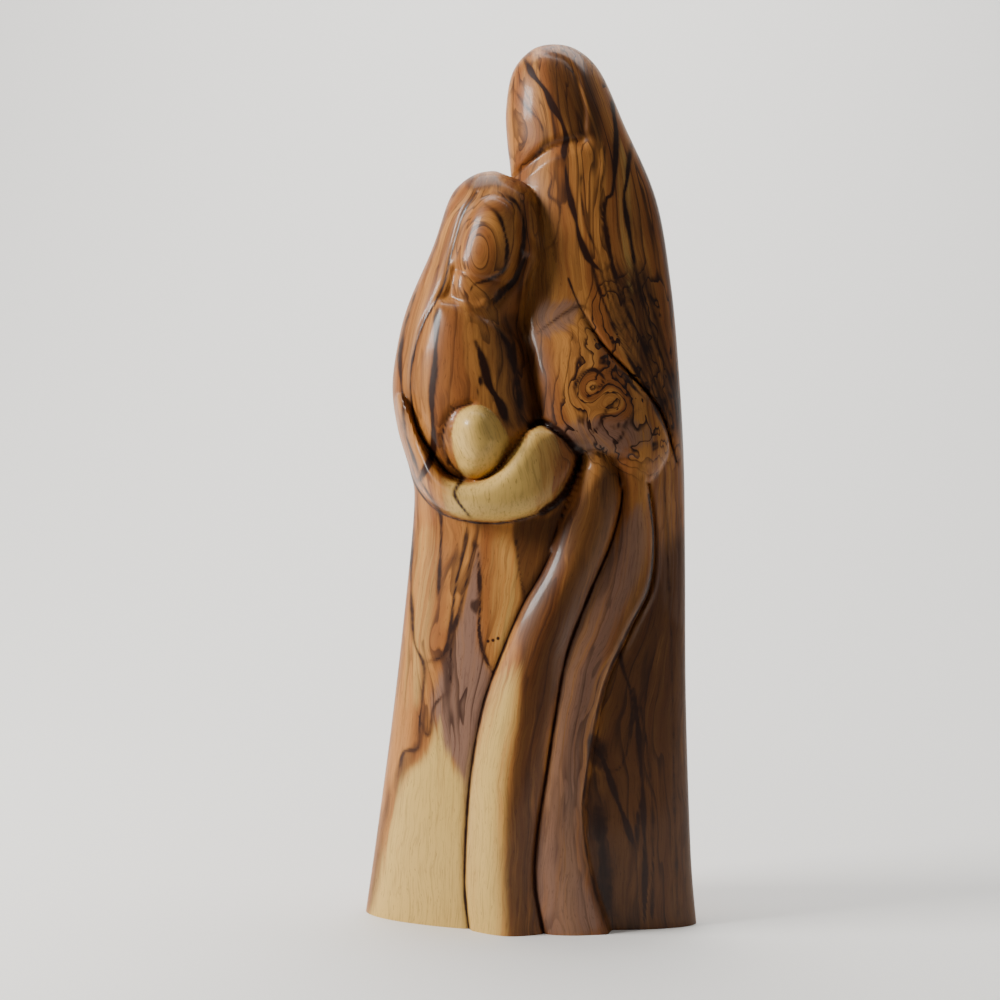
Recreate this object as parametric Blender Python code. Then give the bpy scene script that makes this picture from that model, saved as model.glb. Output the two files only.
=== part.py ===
"""Olive wood holy family carving: a tall hooded figure, a veiled one and a baby, cut from one block with a flat foot.

The carving starts as a ball whose rings are moved onto level slices through the block. Each slice runs from the left
edge of the outline to the right edge. Its front and back come from the round sections of the two figures and of the
robe below them, and the carved forms are laid on the front, one over another.
"""

import bmesh
import bpy
import numpy as np

# The real height in metres. Every other place and size is in steps of a grid that is 250 steps high, as
# (across, up) from the middle of the foot, so that the figures keep their proportions at any height.
HEIGHT = 0.250
TOP = 250.0
STEP = HEIGHT / TOP

# How finely the block is sliced, and how many triangles stay once its flat parts are thinned out
LAYERS = 250
COLUMNS = 104
TRIANGLES = 9700

# Outline of the whole carving from the front
VEIL_TOP = 212.3
LEFT_EDGE = [(-46.9, -4), (-46.8, 0), (-44.7, 20), (-41.3, 55), (-38.7, 89), (-37.2, 117), (-38.6, 126),
             (-42.5, 138), (-44.5, 150), (-43.3, 163), (-40.7, 174), (-34.5, 190), (-30.6, 203), (-27.7, 207.8),
             (-23.2, 211.1), (-18.4, VEIL_TOP)]
RIGHT_EDGE = [(48.1, -4), (48.0, 0), (45.7, 20), (42.7, 64), (41.0, 104), (39.6, 132), (37.2, 158), (34.1, 182),
              (28.9, 206.5), (19.2, 227), (11.8, 242), (5.0, 248.3), (-2.3, TOP)]
FOOT_RIM = 0.8

# Left side of the tall figure, hidden up to the veil's top, and the line where the veil meets that figure
TALL_LEFT = [(-24, 90), (-22, 130), (-18, 165), (-14.6, 188), (-13.2, 199), (-12.8, 208), (-13.3, 214.5),
             (-14.4, 221.5), (-15.1, 231), (-13.6, 241.5), (-8.6, 247.9), (-2.3, TOP)]
FIGURE_LINE = [(0, 90), (0, 128), (-2.4, 141), (-3.9, 151), (-6.6, 163), (-7.9, 170), (-6.6, 179), (-3.9, 187),
               (-3.0, 194), (-3.8, 200), (-6.8, 206), (-12.3, 210.6), (-16.3, VEIL_TOP)]

# Depth of the figures, as (depth, up); the tall figure's depths are shares of half its width
TALL_FRONT = [(0.60, 90), (0.59, 150), (0.64, 190), (0.72, 209), (0.88, 231), (0.9, TOP)]
TALL_BACK = [(0.86, 90), (0.88, 150), (0.95, 190), (1.04, 210), (1.07, 231), (1.07, TOP)]
VEIL_FRONT = [(17, 90), (19, 130), (19.2, 150), (18.2, 170), (17, 190), (16.5, 198)]
VEIL_BACK = [(22, 90), (20, 130), (18, 160), (17, 190), (16, 198)]
VEIL_FORWARD = 3.0
VEIL_DOME_FROM = 196.0
FRONT_BLEND = 0.6
BACK_BLEND = 2.5

# The robe below the arms: its depths, and the heights over which it turns into the two figures
SKIRT_DEPTH = 17.6
ROBE_DEPTH = 13.4
ROBE_BACK = [(27.5, 0), (27, 60), (26, 140)]
ROBE_TURNS = (104, 140)
BACK_TURNS = (44, 150)

# The two long folds: their creases, the height of each ridge, and the lip along the last crease
FOLD_LEFT = [(-16.9, -1), (-18.6, 11), (-18.8, 27), (-18, 44), (-15.3, 62), (-10.6, 77), (-5.5, 90), (0.4, 101.5),
             (4.6, 115.5), (8.6, 129), (10.5, 140)]
FOLD_MIDDLE = [(3.9, -1), (0.8, 13), (0.9, 27), (2.8, 43.5), (4.7, 60), (7.4, 77.5), (13.1, 94.5), (18.7, 109),
               (21.0, 121), (19, 129), (14, 136)]
FOLD_RIGHT = [(22.6, -1), (17.0, 14.6), (13.8, 31), (14.2, 43.6), (17.8, 67.4), (24.1, 83.7), (29.6, 96),
              (30.5, 109.5), (28.5, 122), (27.3, 127), (26, 138)]
FOLD_FOOT = 0.85
FIRST_RIDGE = 4.0
SECOND_RIDGE = 2.2
LAST_STEP = 3.8
RIDGE_POWER = 1.7
FOLDS_END = (128, 138)
LIP_HEIGHT = 0.7
LIP_WIDTH = 0.9
LIP_BESIDE = 1.9
LIP_STARTS = (72, 84)

# Veil opening, face, neck and chest of the veiled figure
VEIL_OPENING = [(-18.6, 204.6), (-13.2, 203.3), (-9.4, 199.6), (-7.6, 194), (-7.6, 187), (-10, 180.5), (-13.5, 176.5),
                (-16.5, 173.2), (-21, 171), (-28, 171.8), (-32.6, 172.6), (-30.2, 178.5), (-29.1, 184.5), (-27.6, 191),
                (-25.8, 198), (-22.5, 202.8)]
VEILED_FACE = [(-17.6, 204.4), (-12.4, 202.4), (-9.2, 197.5), (-8.2, 190), (-9.6, 183), (-13.4, 178.6), (-19, 177.2),
               (-24.6, 178.6), (-28.4, 184), (-27.4, 191), (-25.2, 198), (-22.2, 202.6)]
NECK = [(-27, 183), (-28.6, 176.5), (-25, 171.4), (-18, 171), (-14.2, 174.5), (-13, 179.5), (-19, 182)]
CHEST = [(-32.4, 173.6), (-27, 172.8), (-20.5, 170.6), (-13, 167), (-8, 163.5), (-5.4, 157), (-3.6, 150), (-2.4, 140),
         (-9, 133), (-18, 124), (-25, 124), (-30, 127.5), (-35.6, 136.8), (-38.4, 146), (-38.4, 156), (-36.4, 165)]
OPENING_DEPTH = 2.8
FACE_HEIGHT, FACE_ROUND = 4.6, 9.0
NECK_HEIGHT, NECK_ROUND = 2.6, 5.0
CHEST_HEIGHT, CHEST_ROUND = 2.4, 8.5

# The crescent arm, rising over a round body of its own, and the baby in its crook
ARM_UPPER = [(-40.5, 148), (-38, 143), (-34.4, 134.5), (-29.4, 127.4), (-24.5, 124.3), (-19, 124.5), (-13.8, 127.6),
             (-9.7, 133.3), (-5.6, 139), (-1.6, 140.4)]
ARM_LOWER = [(-42.5, 137), (-39.4, 128), (-35.8, 121), (-30, 115.3), (-22, 112.8), (-11, 112.8), (-1, 115.8),
             (4.4, 120.6), (8, 128), (8.8, 133)]
ARM_TIP = [(9, 129), (8.4, 132.6), (4.4, 136.8), (-1.8, 140.8), (-5, 139.6)]
ARM = ARM_LOWER[:-1] + ARM_TIP[1:-1] + ARM_UPPER[-2::-1] + [(-43.5, 147)]
ARM_HEIGHT = 6.6
ARM_SPAN = (-43.5, 16.0)
ARM_BODY = 22.0
ARM_ROUND_ABOVE = 5.0
ARM_ROUND_BELOW = 8.5
BABY = [(-26.5, 138), (-24.6, 142.6), (-20, 144.7), (-15.2, 142.6), (-11.8, 138), (-10.8, 134.5), (-13.8, 127.6),
        (-19, 124.5), (-23.5, 126), (-26, 132)]
BABY_LEFT = [(-21.4, 145), (-26.2, 143), (-28.6, 138.4), (-28.8, 133.5), (-26.6, 128.4), (-22.8, 125)]
BABY_HEIGHT, BABY_ROUND = 7.0, 7.0
BABY_HEAD_CENTRE = (-20.8, 137.4)
BABY_HEAD_HALF = (7.2, 8.6)
BABY_HEAD_HEIGHT = 1.6
EGG_POWER = 0.7

# Sleeve, mantle edge, hood edge, chin and collar of the tall figure
SLEEVE = [(-3, 141), (-5.4, 154), (-8, 168), (-4, 178), (4, 177), (12, 166), (21, 156.5), (29.6, 148), (34.5, 138),
          (33, 130.5), (27.6, 125), (20, 130.6), (11.6, 133), (7.6, 131), (0, 127), (-4, 133)]
SLEEVE_HEIGHT, SLEEVE_ROUND = 4.0, 8.0
SLEEVE_FADES = (150, 179)
MANTLE_EDGE = [(4, 181), (6.8, 174.5), (10.3, 168.8), (14.6, 162.5), (22.4, 155), (29.6, 147.6), (33.2, 141),
               (36.8, 131.6)]
MANTLE_STEP = 1.3
MANTLE_FADES = (4, 14)
MANTLE_STARTS = (130, 137)
MANTLE_ENDS = (166, 182)
HOOD_LINE = [(-6, 246), (-3.3, 244.6), (1.1, 243), (4.3, 238.7), (5.6, 233), (6.9, 227.5), (6.8, 219.6)]
HOOD_STEP = 0.7
HOOD_RISES = (-0.6, 1.4)
HOOD_FADES = (2, 9)
HOOD_STARTS = (217, 224)
HOOD_ENDS = (238, 247)
CHIN_LINE = [(-16, 208.2), (-13.2, 210.2), (-9.6, 212.5), (-3.9, 216.6), (0, 218.4), (6.2, 219.9), (14, 221)]
CHIN_DEPTH = 1.7
CHIN_ROUND = 1.6
CHIN_FADES = (5, 11)
COLLAR_DROP = 3.6
HEAD_STARTS = (200, 206)

# Cuts along the creases, as (width, depth), and the width over which every other carved edge is eased
FOLD_CUT = (0.7, 0.6)
LAST_FOLD_CUT = (0.9, 1.2)
BAND_CUT = (0.8, 0.9)
HOLLOW_CUT = (1.5, 1.8)
ARM_CUT = (0.7, 0.9)
BABY_CUT = (0.9, 0.9)
MANTLE_CUT = (0.8, 0.9)
HOOD_CUT = (0.9, 0.5)
EASE = 1.1
VEIL_BAND = [(-22.3, 203.8), (-25.8, 198), (-27.6, 191), (-29.1, 184.5), (-30.2, 178.5), (-32.6, 172.6), (-35.6, 167),
             (-38, 159), (-38.7, 149.5), (-36.6, 138.6), (-32.3, 131.9), (-28, 126.6), (-23.5, 124.4)]
VEIL_HOLLOW = [(-8.4, 186), (-10.5, 180.5), (-13.4, 176.8), (-16.2, 173.4)]

# The carving leaves the outline smooth: relief fades out where the block turns away
RELIEF_FADES = (0.0, 0.55)
FAR_BEHIND = -60.0
LEAST_DEPTH = 0.05

# A place beyond the edge of a round section by no more than this share of its half width still lies on the edge
EDGE_SLACK = 1e-6

# Slices lean down beside the veil's top, so that each one reaches the tall figure below the notch
NOTCH_LEAN = 2.3
NOTCH_ACROSS = (-19, -13)
NOTCH_REACH = 9.0

# Where slices lie closer together, as (up, reach, extra)
CLOSER = ((200, 14, 1.1), (VEIL_TOP, 1.2, 5.0), (TOP, 2.5, 3.0), (128, 25, 0.7))

# Lines that the columns follow up the front, and the share of the columns left of each
COLUMN_LINES = (
    FOLD_LEFT[:-2] + [(0, 130), (-2.4, 141), (-7.9, 170), (-3, 194), (-6.8, 206), (-7.5, 216), (-6, 232), (-2.9, TOP)],
    FOLD_MIDDLE[:-2] + [(20, 130), (13, 150), (2, 170), (3, 190), (1, 212), (0, 232), (-2.3, TOP)],
    FOLD_RIGHT[:-3] + [(30, 120), (33, 133), (22.4, 155), (9, 172), (8, 190), (8, 215), (6, 232), (-1.8, TOP)],
)
COLUMN_SHARES = (0.36, 0.54, 0.7)
COLUMN_LEFT = 0.22
COLUMN_RIGHT = 0.1

# Varnished olive wood
WOOD_COLOUR = (0.36, 0.17, 0.06, 1.0)
WOOD_ROUGHNESS = 0.3


def curve(points, closed=False, steps=10):
    """Smooth line through the points, as a fine row of (across, up) places."""
    p = np.array(points, float)
    if closed:
        p = np.vstack([p[-1], p, p[0], p[1]])
    else:
        p = np.vstack([2 * p[0] - p[1], p, 2 * p[-1] - p[-2]])
    before, start, end, after = p[:-3], p[1:-2], p[2:-1], p[3:]
    rows = []
    for t in np.arange(steps) / steps:
        bend = (2 * before - 5 * start + 4 * end - after) * t ** 2 + (3 * start - before - 3 * end + after) * t ** 3
        rows.append(start + 0.5 * ((end - before) * t + bend))
    line = np.stack(rows, axis=1).reshape(-1, 2)
    return np.vstack([line, line[0] if closed else p[-2]])


def at_height(z, points):
    """How far across, or how deep, a line is at the heights z."""
    line = curve(points)
    return np.interp(z, line[:, 1], line[:, 0])


def at_side(x, points):
    """How high a line is at the places x across."""
    line = curve(points)
    return np.interp(x, line[:, 0], line[:, 1])


def ramp(value, low, high):
    """0 below low, 1 above high, with a smooth rise between."""
    t = np.clip((value - low) / (high - low), 0.0, 1.0)
    return t * t * (3.0 - 2.0 * t)


def distance(x, z, line):
    """Distance in the front plane from each place to a line."""
    nearest = np.full(x.shape, np.inf)
    for a, b in zip(line[:-1], line[1:]):
        run, rise = b - a
        t = np.clip(((x - a[0]) * run + (z - a[1]) * rise) / (run * run + rise * rise), 0.0, 1.0)
        nearest = np.minimum(nearest, np.hypot(x - a[0] - t * run, z - a[1] - t * rise))
    return nearest


def inset(x, z, outline):
    """Distance inward from a closed outline, negative outside it."""
    ring = curve(outline, closed=True, steps=6)
    inside = np.zeros(x.shape, bool)
    for a, b in zip(ring[:-1], ring[1:]):
        if a[1] != b[1]:
            crosses = (a[1] > z) != (b[1] > z)
            inside ^= crosses & (x < a[0] + (z - a[1]) * (b[0] - a[0]) / (b[1] - a[1]))
    return np.where(inside, 1.0, -1.0) * distance(x, z, ring)


def pillow(inward, width):
    """Quarter round with an eased foot: 0 on the outline, 1 from the given width inward."""
    t = np.clip(inward / width, 0.0, 1.0)
    return np.sqrt(1.0 - (1.0 - t) ** 2) * ramp(inward, -0.3 * EASE, EASE)


def egg(x, z, centre, half):
    """Height of an egg form, 1 at its centre and 0 on its rim."""
    r = np.hypot((x - centre[0]) / half[0], (z - centre[1]) / half[1])
    return np.clip(1.0 - r * r, 0.0, 1.0) ** EGG_POWER


def groove(x, z, points, cut):
    """Rounded cut along a line."""
    width, depth = cut
    return -depth * np.exp(-(distance(x, z, curve(points, steps=6)) / width) ** 2)


def over(below, above):
    """Lays one carved form over another; cuts in the lower one still show where the upper one has no height."""
    return np.maximum(below, above + np.minimum(below, 0.0))


def round_section(x, left, right, depth):
    """Half a round section between two edges, and far behind everything outside them."""
    t = (2.0 * x - left - right) / (right - left)
    rounded = depth * np.sqrt(np.clip(1.0 - t * t, 0.0, 1.0))
    return np.where(np.abs(t) <= 1.0 + EDGE_SLACK, rounded, FAR_BEHIND)


def blend(a, b, width):
    """The larger of two depths, with the corner between them eased."""
    t = np.clip(0.5 + 0.5 * (a - b) / width, 0.0, 1.0)
    return b + (a - b) * t + width * t * (1.0 - t)


def left_edge(z):
    return np.where(z <= VEIL_TOP, at_height(z, LEFT_EDGE), at_height(z, TALL_LEFT))


def right_edge(z):
    return at_height(z, RIGHT_EDGE)


def tall_figure(x, z, share):
    """Depth of the tall figure, to the front or the back."""
    left = at_height(z, TALL_LEFT)
    right = right_edge(z)
    return round_section(x, left, right, at_height(z, share) * 0.5 * (right - left))


def veiled_figure(x, z, depths, forward):
    """Depth of the veiled figure. Its hidden right side is set so that the two figures meet on the figure line."""
    left = at_height(z, LEFT_EDGE)
    meet = np.maximum(at_height(z, FIGURE_LINE), left + EASE)
    up = np.clip((z - VEIL_DOME_FROM) / (VEIL_TOP - VEIL_DOME_FROM), 0.0, 1.0)
    dome = np.sqrt(1.0 - up * up) + 1e-6
    front = at_height(z, VEIL_FRONT) * dome
    share = np.clip((tall_figure(meet, z, TALL_FRONT) - VEIL_FORWARD) / front, 0.0, 0.98)
    half = (meet - left) / (1.0 + np.sqrt(1.0 - share ** 2))
    section = round_section(x, left, left + 2.0 * half, at_height(z, depths) * dome) + forward
    return np.where(z > VEIL_TOP, FAR_BEHIND, section)


def body_front(x, z):
    """The figures' round forms and the robe below the arms, without the carving on them."""
    upper = blend(tall_figure(x, z, TALL_FRONT), veiled_figure(x, z, VEIL_FRONT, VEIL_FORWARD), FRONT_BLEND)
    middle = at_height(z, FOLD_MIDDLE)
    last = np.maximum(at_height(z, FOLD_RIGHT), middle + 4.0 * EASE)
    depth = SKIRT_DEPTH + (ROBE_DEPTH - SKIRT_DEPTH) * ramp(x, middle, last)
    lower = round_section(x, left_edge(z), right_edge(z), depth)
    turn = ramp(z, *ROBE_TURNS)
    return turn * np.maximum(upper, 0.0) + (1.0 - turn) * lower


def body_back(x, z):
    """How far the plain back stands behind the widest line, with a shallow valley between the figures."""
    upper = blend(tall_figure(x, z, TALL_BACK), veiled_figure(x, z, VEIL_BACK, -VEIL_FORWARD), BACK_BLEND)
    lower = round_section(x, left_edge(z), right_edge(z), at_height(z, ROBE_BACK))
    turn = ramp(z, *BACK_TURNS)
    return turn * np.maximum(upper, -VEIL_FORWARD) + (1.0 - turn) * lower


def ridge(x, left, right, height):
    """A rounded ridge between two creases, and the share of the way across."""
    s = np.clip((x - left) / np.maximum(right - left, EASE), 0.0, 1.0)
    return FOLD_FOOT + height * (1.0 - np.abs(2.0 * s - 1.0) ** RIDGE_POWER), s


def folds(x, z):
    """The two long folds, side by side, the second ending in a step down to the robe."""
    left, middle, right = (at_height(z, line) for line in (FOLD_LEFT, FOLD_MIDDLE, FOLD_RIGHT))
    first, _ = ridge(x, left, middle, FIRST_RIDGE)
    second, s = ridge(x, middle, right, SECOND_RIDGE)
    side = ramp(x - middle, -0.5 * EASE, 0.5 * EASE)
    rise = first * (1.0 - side) + (second + LAST_STEP * s * s) * side
    rise = rise * ramp(x - left, 0.0, EASE) * (1.0 - ramp(x - right, 0.0, EASE))
    lip = LIP_HEIGHT * np.exp(-((x - right - LIP_BESIDE) / LIP_WIDTH) ** 2) * ramp(z, *LIP_STARTS)
    cuts = groove(x, z, FOLD_LEFT, FOLD_CUT) + groove(x, z, FOLD_MIDDLE, FOLD_CUT)
    cuts = cuts + groove(x, z, FOLD_RIGHT, LAST_FOLD_CUT)
    return (rise + cuts + lip) * (1.0 - ramp(z, *FOLDS_END))


def veiled_relief(x, z):
    """Veil opening with the smooth face and neck in it, and the chest below."""
    relief = -OPENING_DEPTH * ramp(inset(x, z, VEIL_OPENING), 0.0, EASE)
    face = FACE_HEIGHT * pillow(inset(x, z, VEILED_FACE), FACE_ROUND)
    relief = relief + np.maximum(face, NECK_HEIGHT * pillow(inset(x, z, NECK), NECK_ROUND))
    relief = relief + CHEST_HEIGHT * pillow(inset(x, z, CHEST), CHEST_ROUND)
    return relief + groove(x, z, VEIL_BAND, BAND_CUT) + groove(x, z, VEIL_HOLLOW, HOLLOW_CUT)


def arm(x, z):
    """The crescent arm: steep above, where it cradles the baby, and fuller below."""
    above = pillow(distance(x, z, curve(ARM_UPPER)), ARM_ROUND_ABOVE)
    below = pillow(distance(x, z, curve(ARM_LOWER)), ARM_ROUND_BELOW)
    body = np.maximum(round_section(x, *ARM_SPAN, ARM_BODY) - body_front(x, z), 0.0)
    return (ARM_HEIGHT * above * below + body * np.sqrt(above * below)) * ramp(inset(x, z, ARM), 0.0, EASE)


def baby(x, z):
    """The baby as one smooth form, with a faint egg for its head."""
    form = BABY_HEIGHT * pillow(inset(x, z, BABY), BABY_ROUND)
    form = form + BABY_HEAD_HEIGHT * egg(x, z, BABY_HEAD_CENTRE, BABY_HEAD_HALF)
    return form * (1.0 - ramp(inset(x, z, ARM), 0.0, EASE))


def sleeve(x, z):
    """The tall figure's sleeve, swelling toward its lower end."""
    return SLEEVE_HEIGHT * pillow(inset(x, z, SLEEVE), SLEEVE_ROUND) * (1.0 - ramp(z, *SLEEVE_FADES))


def mantle(x, z):
    """The mantle edge that crosses the tall figure's chest down to the right."""
    beside = x - at_height(z, MANTLE_EDGE[::-1])
    step = MANTLE_STEP * ramp(beside, 0.0, EASE) * (1.0 - ramp(beside, *MANTLE_FADES))
    step = step * ramp(z, *MANTLE_STARTS) * (1.0 - ramp(z, *MANTLE_ENDS))
    return step + groove(x, z, MANTLE_EDGE, MANTLE_CUT)


def head(x, z):
    """Hood edge, chin crease and collar of the tall figure, round a plain smooth face."""
    beside = x - at_height(z, HOOD_LINE[::-1])
    hood = HOOD_STEP * ramp(beside, *HOOD_RISES) * (1.0 - ramp(beside, *HOOD_FADES))
    hood = hood * ramp(z, *HOOD_STARTS) * (1.0 - ramp(z, *HOOD_ENDS))
    rise = z - at_side(x, CHIN_LINE)
    chin = np.where(rise > 0.0, np.exp(-(rise / CHIN_ROUND) ** 2), np.clip(1.0 + rise / COLLAR_DROP, 0.0, 1.0))
    chin = CHIN_DEPTH * chin * (1.0 - ramp(x, *CHIN_FADES))
    return (hood + groove(x, z, HOOD_LINE, HOOD_CUT) - chin) * ramp(z, *HEAD_STARTS)


def front(x, z):
    """How far the carved front stands forward of the widest line."""
    left, right = left_edge(z), right_edge(z)
    t = (2.0 * x - left - right) / (right - left)
    turned = np.sqrt(np.clip(1.0 - t * t, 0.0, 1.0))
    relief = over(folds(x, z) + veiled_relief(x, z), sleeve(x, z)) + mantle(x, z)
    relief = over(relief, arm(x, z))
    relief = over(relief, baby(x, z)) + groove(x, z, ARM_TIP, ARM_CUT) + groove(x, z, BABY_LEFT, BABY_CUT)
    relief = relief + head(x, z) * ramp(x - at_height(z, FIGURE_LINE), 0.0, EASE)
    return body_front(x, z) + relief * ramp(turned, *RELIEF_FADES)


def slice_heights():
    """Heights of the slices, closer together at the foot's rim, the arms and the tops of the two heads."""
    z = np.linspace(0.0, TOP, 2501)
    density = np.ones(z.shape)
    for up, reach, extra in CLOSER:
        density += extra * np.exp(-((z - up) / reach) ** 2)
    total = np.cumsum(density)
    even = np.interp(np.linspace(total[0], total[-1], LAYERS + 1), total, z)[1:-1]
    rim = FOOT_RIM * (1.0 - np.cos(np.radians([0.0, 30.0, 60.0, 90.0])))
    return np.concatenate([rim, even[even > 1.5 * FOOT_RIM]])


def lean(x, z):
    """How far a slice is lowered beside the veil's top."""
    return -NOTCH_LEAN * ramp(x, *NOTCH_ACROSS) * np.exp(-((z - VEIL_TOP) / NOTCH_REACH) ** 2)


def slice_edge(z, edge):
    """Where a leaning slice meets one edge of the outline."""
    x = edge(z)
    for _ in range(6):
        x = edge(z + lean(x, z))
    return float(x)


def rising_curve(value, knots, results):
    """Smooth rising line through the knots."""
    step = np.diff(knots)
    slope = np.diff(results) / step
    between = 2.0 * slope[:-1] * slope[1:] / (slope[:-1] + slope[1:])
    slopes = np.concatenate([slope[:1], between, slope[-1:]])
    i = np.clip(np.searchsorted(knots, value, side="right") - 1, 0, len(step) - 1)
    t = (value - knots[i]) / step[i]
    ends = (2 * t ** 3 - 3 * t ** 2 + 1) * results[i] + (3 * t ** 2 - 2 * t ** 3) * results[i + 1]
    return ends + step[i] * ((t ** 3 - 2 * t ** 2 + t) * slopes[i] + (t ** 3 - t ** 2) * slopes[i + 1])


def column_places(z):
    """Places across one slice, close together at both edges and following the column lines between them."""
    left = slice_edge(z, left_edge if z <= VEIL_TOP else lambda up: at_height(up, TALL_LEFT))
    right = slice_edge(z, right_edge)
    gap = COLUMN_RIGHT * (right - left)
    marks = [left]
    for count, line in enumerate(COLUMN_LINES):
        least = marks[-1] + (gap if count else COLUMN_LEFT * (right - left))
        marks.append(float(np.clip(at_height(z, line), least, right - gap * (len(COLUMN_LINES) - count))))
    share = 0.5 * (1.0 - np.cos(np.pi * np.arange(COLUMNS + 1) / COLUMNS))
    return rising_curve(share, np.array([0.0, *COLUMN_SHARES, 1.0]), np.array([*marks, right]))


def carved_rings():
    """Every slice as a ring of places: the front from left to right, then the back from right to left."""
    heights = slice_heights()
    x = np.array([column_places(z) for z in heights])
    level = np.repeat(heights[:, None], COLUMNS + 1, axis=1)
    z = level + lean(x, level) * (level > FOOT_RIM)
    ahead = front(x, z)
    behind = np.maximum(body_back(x, z), LEAST_DEPTH - ahead)
    edges = 0.5 * (ahead[:, [0, -1]] - behind[:, [0, -1]])
    ahead[:, [0, -1]] = edges
    rings = np.stack([np.hstack([x, x[:, -2:0:-1]]), np.hstack([-ahead, behind[:, -2:0:-1]]),
                      np.hstack([z, z[:, -2:0:-1]])], axis=2)
    for ring in rings[heights < FOOT_RIM]:
        pull = FOOT_RIM - np.sqrt(FOOT_RIM ** 2 - (FOOT_RIM - ring[0, 2]) ** 2)
        ring[:, :2] *= 1.0 - pull / np.linalg.norm(ring[:, :2], axis=1, keepdims=True)
    return rings


def carve(ball, rings):
    """Moves each ring of a ball onto its slice, and its two poles onto the foot and the top."""
    count, around = rings.shape[:2]
    bmesh.ops.create_uvsphere(ball, u_segments=around, v_segments=count + 1, radius=1.0)
    for vertex in ball.verts:
        row = round(np.arccos(np.clip(-vertex.co.z, -1.0, 1.0)) / np.pi * (count + 1)) - 1
        column = round((np.arctan2(vertex.co.y, vertex.co.x) / np.pi + 1.0) * 0.5 * around) % around
        if 0 <= row < count:
            vertex.co = rings[row, column] * STEP
        else:
            middle = rings[max(row, 0) if row < 0 else -1].mean(axis=0)
            vertex.co = (middle[0] * STEP, middle[1] * STEP, 0.0 if row < 0 else HEIGHT)


def build_carving():
    """One closed solid, thinned out where it is flat."""
    ball = bmesh.new()
    carve(ball, carved_rings())
    share = TRIANGLES / sum(len(face.verts) - 2 for face in ball.faces)
    mesh = bpy.data.meshes.new("carving")
    ball.to_mesh(mesh)
    ball.free()
    carving = bpy.data.objects.new("carving", mesh)
    bpy.context.scene.collection.objects.link(carving)
    thin = carving.modifiers.new("thin", "DECIMATE")
    thin.ratio = min(share, 1.0)
    thinned = carving.evaluated_get(bpy.context.evaluated_depsgraph_get())
    carving.data = bpy.data.meshes.new_from_object(thinned)
    carving.modifiers.clear()
    settle(carving.data)
    return carving


def settle(mesh):
    """Brings the foot back to one plane and the middle of the outline back over the origin."""
    places = np.array([vertex.co for vertex in mesh.vertices])
    places[:, :2] -= 0.5 * (places[:, :2].min(axis=0) + places[:, :2].max(axis=0))
    places[:, 2] -= places[:, 2].min()
    places[places[:, 2] < 0.1 * FOOT_RIM * STEP, 2] = 0.0
    mesh.vertices.foreach_set("co", places.ravel())
    mesh.update()


def add_wood(carving):
    """Varnished olive wood in one plain colour."""
    wood = bpy.data.materials.new("olive_wood")
    wood.use_nodes = True
    shader = wood.node_tree.nodes["Principled BSDF"]
    shader.inputs["Base Color"].default_value = WOOD_COLOUR
    shader.inputs["Roughness"].default_value = WOOD_ROUGHNESS
    shader.inputs["Metallic"].default_value = 0.0
    carving.data.materials.clear()
    carving.data.materials.append(wood)


for leftover in list(bpy.data.objects):
    bpy.data.objects.remove(leftover)
add_wood(build_carving())
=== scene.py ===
"""Olive wood holy family carving: its fine surface and varnished wood, a pale floor, lights and camera."""

from functools import partial

import bmesh
import bpy
import numpy as np
from mathutils import Matrix, Vector


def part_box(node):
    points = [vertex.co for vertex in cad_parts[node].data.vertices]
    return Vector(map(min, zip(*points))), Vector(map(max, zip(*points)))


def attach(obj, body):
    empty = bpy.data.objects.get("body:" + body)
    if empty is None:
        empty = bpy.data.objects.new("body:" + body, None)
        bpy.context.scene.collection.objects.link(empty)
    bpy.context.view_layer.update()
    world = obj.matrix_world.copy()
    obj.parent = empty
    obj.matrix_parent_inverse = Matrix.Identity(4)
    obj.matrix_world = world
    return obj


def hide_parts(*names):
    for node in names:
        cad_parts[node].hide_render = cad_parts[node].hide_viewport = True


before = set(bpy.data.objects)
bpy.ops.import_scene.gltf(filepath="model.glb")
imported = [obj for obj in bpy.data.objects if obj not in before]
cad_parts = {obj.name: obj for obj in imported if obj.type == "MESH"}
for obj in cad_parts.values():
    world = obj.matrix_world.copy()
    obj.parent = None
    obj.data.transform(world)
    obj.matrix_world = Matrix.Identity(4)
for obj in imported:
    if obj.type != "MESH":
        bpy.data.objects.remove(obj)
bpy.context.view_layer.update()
CAD_LOW, CAD_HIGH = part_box("carving")

bl_info = {
    "name": "Olive wood holy family carving",
    "version": (1, 0, 0),
    "blender": (4, 5, 0),
    "location": "View3D > Sidebar > Carving",
    "description": "Carves the group's fine surface, dresses it in varnished olive wood and sets the stage",
    "category": "Object",
}

MM = 0.001

# Every place and size of the carving is in steps of a grid that is 250 steps high, as (across, up) from the
# middle of the foot
TOP = 250.0
STEP = (CAD_HIGH.z - CAD_LOW.z) / TOP

# Outline of the whole carving from the front
VEIL_TOP = 212.3
LEFT_EDGE = [(-46.9, -4), (-46.8, 0), (-44.7, 20), (-41.3, 55), (-38.7, 89), (-37.2, 117), (-38.6, 126),
             (-42.5, 138), (-44.5, 150), (-43.3, 163), (-40.7, 174), (-34.5, 190), (-30.6, 203),
             (-27.7, 207.8), (-23.2, 211.1), (-18.4, VEIL_TOP)]
RIGHT_EDGE = [(48.1, -4), (48.0, 0), (45.7, 20), (42.7, 64), (41.0, 104), (39.6, 132), (37.2, 158),
              (34.1, 182), (28.9, 206.5), (19.2, 227), (11.8, 242), (5.0, 248.3), (-2.3, TOP)]

# The rounded rim of the foot: its radius, the height above which the other slices start, and the angles in
# degrees of the slices round it
FOOT_RIM = 0.8
RIM_CLEAR = 1.5 * FOOT_RIM
RIM_ANGLES = (0.0, 30.0, 60.0, 90.0)

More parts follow.
